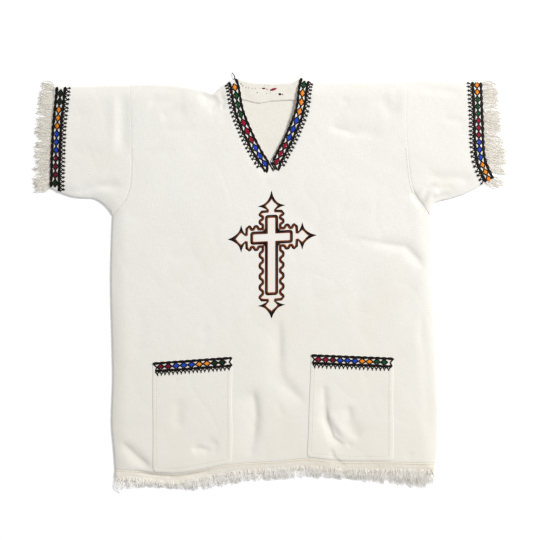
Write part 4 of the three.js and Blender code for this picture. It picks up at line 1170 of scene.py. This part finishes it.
HEART_CORNERS = {"outer": 6.5, "inner": 2.2}


def on_chest(along, side, turn):
    """From an arm's own directions to the shirt's, with the cross's slope to the right."""
    angle = math.radians(turn)
    x = along * math.cos(angle) - side * math.sin(angle)
    y = along * math.sin(angle) + side * math.cos(angle) + CROSS["rise"] * x
    return points_of(CROSS["x"] + x, CROSS["y"] + y)


def border_edge(edge):
    """One edge of the scalloped border. Its middle line is border + wave * tanh(lobe * c) / tanh(lobe)
    on each arm, where c = cos(2 pi (along - last peak) / pitch) past a flat stretch by the corner,
    and an edge lies half a width off it; then comes a barbed finial with smooth curved flanks."""
    out = BORDER_HALF if edge == "outer" else -BORDER_HALF
    valley = BORDER - WAVE
    contour = []
    for turn, reach, length, scallops in CROSS_ARMS:
        last_peak = reach - PEAK_BACK
        pitch = (last_peak - valley - FLAT) / (scallops - 0.5)
        along = np.linspace(valley, last_peak, int(24 * (scallops - 0.5)) + 9)
        turns = np.maximum(along - last_peak, (0.5 - scallops) * pitch) / pitch
        lobes = np.tanh(LOBE * np.cos(2 * np.pi * turns)) / math.tanh(LOBE)
        slope = np.gradient(WAVE * lobes, along)
        steep = np.hypot(1, slope)
        side = BORDER + WAVE * lobes + out / steep
        along = np.maximum.accumulate(np.maximum(along - out * slope / steep, valley + out))
        corner = np.array([[valley + out, valley + out]])
        wave = np.concatenate([corner, points_of(along, side)])
        plate, neck, shoulder, barb, *bow = np.array(FINIAL[edge]) + [reach, 0]
        tip = reach + TIP[edge] * length
        curve = dict(zip(("along", "side"), zip(barb, *bow, (tip, 0))))
        steps = np.linspace(barb[0], tip, 18)
        flank = points_of(steps, read(curve, "along", "side", steps))
        share = np.linspace(0, 1, 10)[:, None]
        sag = (shoulder + barb) / 2 + (np.array([1.8, -1.2]) if edge == "outer" else 0)
        hook = (1 - share) ** 2 * shoulder + 2 * share * (1 - share) * sag + share ** 2 * barb
        half = np.concatenate([wave, between([wave[-1], plate, neck, shoulder], 4)[1:-1],
                               hook[:-1], flank])
        contour.append(on_chest(half[:, 0], -half[:, 1], turn))
        contour.append(on_chest(half[1:-1, 0], half[1:-1, 1], turn)[::-1])
    return np.concatenate(contour)


def heart_edge(edge):
    """One edge of the plain cross: its corners rounded, and straight stretches between them."""
    inward = 0 if edge == "outer" else HEART["line"]
    stem, arm, head, foot = [HEART[k] - inward for k in ("stem", "arm", "head", "foot")]
    corners = np.array([
        (arm, -stem), (arm, stem), (stem, stem), (stem, head), (-stem, head), (-stem, stem),
        (-arm, stem), (-arm, -stem), (-stem, -stem), (-stem, -foot), (stem, -foot), (stem, -stem),
    ], float)
    soft = HEART_CORNERS[edge]
    sides = [np.roll(corners, step, axis=0) - corners for step in (1, -1)]
    enter, leave = [corners + way / np.linalg.norm(way, axis=1)[:, None] * soft for way in sides]
    t = np.linspace(0, 1, 7)[None, :, None]
    arcs = (1 - t) ** 2 * enter[:, None] + 2 * t * (1 - t) * corners[:, None] + t ** 2 * leave[:, None]
    contour = []
    for k, arc in enumerate(arcs):
        contour += [arc, between([arc[-1], arcs[(k + 1) % 12][0]], 16)[1:-1]]
    contour = np.concatenate(contour)
    return on_chest(contour[:, 0], contour[:, 1], 0)


def ribbon(node, outer, inner):
    """Satin stitch between two matching closed contours: each cross-section is a low arch,
    sqrt(1 - (2v - 1)^2) high, closed underneath. V on the piece is the distance from the inner edge."""
    v = np.linspace(0, 1, 9)
    plan = outer[:, None] + (inner - outer)[:, None] * v[None, :, None]
    width = np.linalg.norm(inner - outer, axis=1)
    arch = np.sqrt(np.clip(1 - (2 * v - 1) ** 2, 0, 1))
    points = laid(plan, on_front, ARCH * arch * np.minimum(1, width / 4)[:, None] + 0.02)
    index = np.arange(len(outer) * len(v)).reshape(-1, len(v))
    forward, turned = np.roll(index, -1, axis=0), np.roll(index, -1, axis=1)
    faces = np.stack([index, forward, np.roll(forward, -1, axis=1), turned], axis=-1).reshape(-1, 4)
    run = np.cumsum(np.linalg.norm(np.diff(outer, axis=0, prepend=outer[:1]), axis=1))
    uv = points_of(run[:, None], width[:, None] * (1 - v)).reshape(-1, 2) * MM
    return make(f"{node}_stitches", node, points.reshape(-1, 3), [faces], [CROSS_SATIN],
                uv=uv)


# ---- fringe ----
HEM_TIPS = {
    "x": (-300, -259, -204, -148, -92, -37, 22, 77, 119, 175, 231, 290, 318),
    "y": (-397, -386, -386, -391, -383, -373, -370, -366, -368, -373, -379, -386, -380),
}
SLEEVE_TIPS = {
    "left": {"y": (177, 213, 303, 391.5), "x": (-455, -455, -449, -441)},
    "right": {"y": (216, 240, 280, 316, 390), "x": (454, 453, 447, 444, 437)},
}
TASSEL = {"share": 0.09, "tips": ((437, 182), (453, 199)), "yarns": 34}
HEM_TUFTS = (320, 5)  # tufts, and yarns in each
SLEEVE_TUFTS = {"left": (88, 6, 6), "right": (76, 5, 7)}  # tufts, yarns in each, and the seed
YARN_TAPER = ((0, 0.6, 1), (1, 0.85, 0.4))  # shares of a yarn's length, and of its width there


def fringe(node, roots, tips, start, width, bow, curl, seed, fall=(0.1, 0.9), yarn=LOOSE):
    """Loose yarns from roots to tips: points on a line from one to the other, bowed sideways by
    4 s (1 - s) and curled a little, drooping from their start heights to the floor over the stretch
    that fall gives."""
    count = len(roots)
    rng = np.random.default_rng(seed)
    share = np.linspace(0, 1, 8)[None, :, None]
    run = tips - roots
    sway = bow * rng.normal(0, 1, (count, 1, 1)) * 4 * share * (1 - share)
    turns = rng.uniform(5, 11, (count, 1, 1))
    sway = sway + curl * np.sin(turns * share + rng.uniform(0, 7, (count, 1, 1))) * share
    plan = roots[:, None] + run[:, None] * share + square_to(run)[:, None] * sway
    droop = share[:, :, 0]
    rest = 0.35 + 0.9 * rng.uniform(0, 1, (count, 1))
    height = mix(start[:, None], rest, smoothstep(droop, *fall))
    height = height + 0.5 * rng.uniform(0, 1, (count, 1)) * np.sin(np.pi * droop)
    taper = np.interp(share[0, :, 0], *YARN_TAPER)
    thick = width * rng.uniform(0.6, 1.4, (count, 1)) * taper
    stitches = Stitches()
    stitches.threads(points_of(plan[..., 0], plan[..., 1], height), thick, thick * 0.85, sides=4)
    return stitches.make(f"{node}_yarns", node, [yarn], "fringe_thread")


def hem_fringe():
    """Short curly fringe, frayed from the lower third of the hem band, uneven and thin in places."""
    tufts, each = HEM_TUFTS
    rng = np.random.default_rng(4)
    chain = OUTLINE[-1]
    first, last = chain[0, 0] + 2, chain[-1, 0] - 2
    middle = np.repeat(rng.uniform(first, last, tufts), each)
    lean = np.repeat(rng.normal(0, 2.3, tufts), each)
    reach = np.repeat(rng.uniform(0.68, 1.05, tufts), each)
    count = len(middle)
    x = np.clip(middle + rng.normal(0, 1.1, count), first, last)
    y = np.interp(x, chain[:, 0], chain[:, 1])
    tip_x = x + lean + rng.normal(0, 0.9, count)
    drop = (y - read(HEM_TIPS, "x", "y", x)) * (reach + rng.uniform(-0.25, 0.1, count)) + 1
    root_y = y + rng.uniform(2, 10, count)
    start = on_front(x, root_y) + mix(-0.4, 0.5, smoothstep(np.minimum(x - first, last - x), 0, 5))
    # the hem fringe takes the lighter yarn: painted light against the shade among its strands
    return fringe("hem_fringe", points_of(x, root_y), points_of(tip_x, y - drop), start, 0.33, 0.12,
                  0.09, 5, (0.35, 1.15), LIGHTENED_HEM_YARN)


def sleeve_fringe(side):
    """Long fringe past a sleeve's end, in tufts that lean together; the right one starts with a
    small gathered tassel."""
    tufts, each, seed = SLEEVE_TUFTS[side]
    rng = np.random.default_rng(seed)
    low, high = CUFF_ENDS[side]
    first = 0 if side == "left" else TASSEL["share"]
    share = np.repeat(rng.uniform(first, 1, tufts), each)
    count = len(share)
    share = np.clip(share + rng.normal(0, 0.0045, count), first, 1)
    edge_y = mix(low + 1.5, high - 2, share)
    edge_x = read(CUFFS[side], "y", "x", edge_y)
    table = SLEEVE_TIPS[side]
    tip_y = mix(table["y"][0], table["y"][-1], (share - first) / (1 - first))
    lean = np.repeat(rng.normal(-4, 4.5, tufts), each)
    tip_y = np.maximum(tip_y + lean + rng.normal(0, 1.3, count), table["y"][0] - 4)
    tip_y = np.minimum(tip_y, table["y"][-1] - rng.uniform(0.5, 7, count))
    reach = np.repeat(rng.uniform(0.8, 1.02, tufts), each) + rng.uniform(-0.14, 0.05, count)
    tip_x = edge_x + (read(table, "y", "x", tip_y) - edge_x) * reach
    roots, tips = points_of(edge_x - SIGN[side] * 2, edge_y), points_of(tip_x, tip_y)
    if side == "right":
        yarns = TASSEL["yarns"]
        knot = np.array([edge_x[0] - 0.5, low + 2]) + rng.normal(0, 0.7, (yarns, 2))
        ends = np.linspace(*TASSEL["tips"], yarns)
        ends = knot + (ends - knot) * rng.uniform(0.8, 1.05, (yarns, 1)) + rng.normal(0, 0.8, (yarns, 2))
        roots, tips = np.concatenate([roots, knot]), np.concatenate([tips, ends])
    start = rng.uniform(0.7, 2.1, len(roots))
    return fringe(f"sleeve_fringe_{side}", roots, tips, start, 0.42, 0.13, 0.035, 8)


# ---- sewing and small marks ----
DASH, GAP = 2.4, 1.6  # of a running stitch


def dashes(stitches, path, surface, lift, seed):
    """Running stitches along a path: short threads, each a little off the line."""
    strip = Strip(path, 1, ease=0.02)
    rng = np.random.default_rng(seed)
    start = np.arange(1, strip.length - DASH, DASH + GAP)
    start = start + rng.uniform(-0.3, 0.3, len(start))
    s = start[:, None] + DASH * np.array([[0, 0.2, 0.5, 0.8, 1]])
    points = strip.at(s, rng.uniform(-0.25, 0.25, (len(start), 1)))
    arch = np.array([-0.3, 0.12, 0.2, 0.12, -0.3])
    stitches.threads(laid(points, surface, lift + arch), 0.36, 0.26, sides=5)


def sewing():
    """Running stitches of pockets, armholes and hem."""
    stitches = Stitches()
    up, share = np.linspace(0.86, 0.045, 60), np.linspace(0.055, 0.945, 80)
    for side in SIDES:
        for k, place in enumerate(((0.05, up), (share, 0.045), (0.95, up))):
            dashes(stitches, points_of(*pocket_point(side, *place)), on_pocket, -0.12, 21 + k)
    for side in SIDES:
        x, y = body_point(side, 0, np.linspace(UNDERARM + 6, 262, 100))
        dashes(stitches, points_of(x - SIGN[side] * 3.2, y), on_front, 0.06, 25)
    x = np.linspace(-50, 48, 90)
    dashes(stitches, points_of(x, read(FACING_HEM, "x", "y", x) + 1.8), on_facing, 0.02, 27)
    x = np.linspace(-294, 312, 400)
    dashes(stitches, points_of(x, hem_y(x) - 2.6), on_front, 0.42, 26)
    return stitches.make("seam_stitches", None, [SEWING], "cotton")


SHOW_THROUGH = (  # thread ends that show through the facing: x, y, length, direction, half width
    (-0.8, 371, 13, 16, 2.3, "red"), (-16.4, 374.8, 6.8, 0, 1.7, "dark red"),
    (15.2, 363.9, 5.6, -6, 2.2, "brown"), (21.9, 363.2, 2.2, 0, 1.3, "brown"),
    (-57.4, 383.6, 3, -25, 1.0, "brown"), (-53.8, 380, 2.6, -35, 0.8, "brown"),
    (-47.6, 376.6, 2.4, -15, 0.8, "grey"), (-42.6, 375.8, 2.4, -8, 0.7, "grey"),
    (-35.2, 374.2, 2, -8, 0.7, "grey"), (-30, 374.7, 2, 8, 0.7, "grey"),
    (-20.4, 375.2, 1.6, 0, 0.6, "grey"), (-7.8, 372.8, 2, 8, 0.9, "dark red"),
    (-26.4, 366.4, 2, 0, 0.9, "brown"), (-8.1, 365, 1.6, 0, 0.7, "grey"),
    (-1.2, 365.8, 1.4, 0, 0.6, "grey"), (-10.8, 380.8, 1.4, 0, 0.6, "grey"),
    (-4, 380.3, 1.4, 0, 0.6, "grey"), (9.7, 381.3, 1.4, 0, 0.6, "grey"),
)
SPECKS = (  # stray thread ends on the front: x, y, length, direction, half width
    (-344.7, 210, 1.2, 20, 0.6, "grey"), (-303.2, 141.6, 1.3, 60, 0.65, "brown"),
    (139.2, -326.6, 1.5, 10, 0.7, "grey"),
)
MARK_FINISH = {"red": 0, "dark red": 1, "brown": 2, "grey": 3}


def marks():
    """Thread ends that show through the facing, and a few specks on the front."""
    stitches = Stitches()
    for table, surface in ((SHOW_THROUGH, on_facing), (SPECKS, on_front)):
        for x, y, length, direction, half, finish in table:
            angle = math.radians(direction)
            run = np.linspace(0, length, 6)
            path = points_of(x + run * math.cos(angle), y + run * math.sin(angle))
            width = half * np.sqrt(np.clip(np.sin(np.pi * np.linspace(0.08, 0.92, 6)), 0, 1))
            stitches.threads([laid(path, surface, 0.0)], width, 0.16, MARK_FINISH[finish])
    return stitches.make("thread_ends", None, [RED, DARK_RED, BLACK, SHADE], "band_thread")


# ---- floor ----
floor_mesh = bpy.data.meshes.new("floor")
floor_mesh.from_pydata([(-4, -4, 0), (4, -4, 0), (4, 4, 0), (-4, 4, 0)], [], [(0, 1, 2, 3)])
floor = placed("floor", floor_mesh)
white = linear("ffffff")
paper, nodes, shader = new_material("white paper", 1.0, 0.0)
nodes.join(shader, {"Base Color": white, "Emission Color": white, "Emission Strength": 0.1})
floor_mesh.materials.append(paper)

# ---- the shirt ----
back, front, facing = back_panel(), front_panel(), neck_facing()
sleeves = {side: sleeve(side) for side in SIDES}
pockets = {side: pocket(side) for side in SIDES}
hem_front, hem_back = hem_band("front"), hem_band("back")
neck_bands = [neck_band(side) for side in SIDES]
sleeve_bands = {side: sleeve_band(side) for side in SIDES}
pocket_bands = {side: pocket_band(side) for side in SIDES}
border = ribbon("cross_border", border_edge("outer"), border_edge("inner"))
heart = ribbon("cross_heart", heart_edge("outer"), heart_edge("inner"))
hem_yarns = hem_fringe()
sleeve_yarns = {side: sleeve_fringe(side) for side in SIDES}
seams = sewing()
ends = marks()

# ---- cloth sizes ----
SHEETS = (  # piece, cut width and length in metres, area in square metres, what it lies on, trims
    (front, 0.615, 0.75, 0.425, [back, facing], [seams, ends, border, heart, *neck_bands]),
    (back, 0.615, 0.75, 0.445, [floor], []),
    (facing, 0.12, 0.036, 0.0041, [back], []),
    (sleeves["left"], 0.46, 0.165, 0.066, [floor], [sleeve_bands["left"], sleeve_yarns["left"]]),
    (sleeves["right"], 0.44, 0.165, 0.066, [floor], [sleeve_bands["right"], sleeve_yarns["right"]]),
    (pockets["left"], 0.151, 0.215, 0.0315, [front], [pocket_bands["left"]]),
    (pockets["right"], 0.16, 0.215, 0.0335, [front], [pocket_bands["right"]]),
    (hem_front, 0.61, 0.022, 0.0133, [front], [hem_yarns]),
    (hem_back, 0.61, 0.022, 0.0133, [floor], []),
)
for piece, width, length, area, below, trims in SHEETS:
    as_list(below)
    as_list(trims)

# ---- light and camera ----
WINDOW = (4.5, 3.2, 3.4)  # metres
world = bpy.data.worlds.new("studio")
world.use_nodes = True
sky = world.node_tree.nodes["Background"].inputs
sky["Color"].default_value = linear("fdfdff")
sky["Strength"].default_value = 0.47
bpy.context.scene.world = world


window_light = bpy.data.lights.new("window", "AREA")
window_light.size = 1.8
window_light.energy = 470
window = placed("window", window_light)
window.location = WINDOW
tilt = math.acos(WINDOW[2] / math.dist(WINDOW, (0, 0, 0)))  # so that it looks at the shirt's middle
window.rotation_euler = (tilt, 0, math.atan2(WINDOW[0], -WINDOW[1]))

camera_data = bpy.data.cameras.new("camera")
camera_data.lens = 50
camera_data.sensor_width = 36
camera = placed("camera", camera_data)
camera.location = (-0.00095, 0.02898, 1.43)
bpy.context.scene.camera = camera
bpy.context.scene.view_settings.view_transform = "Standard"
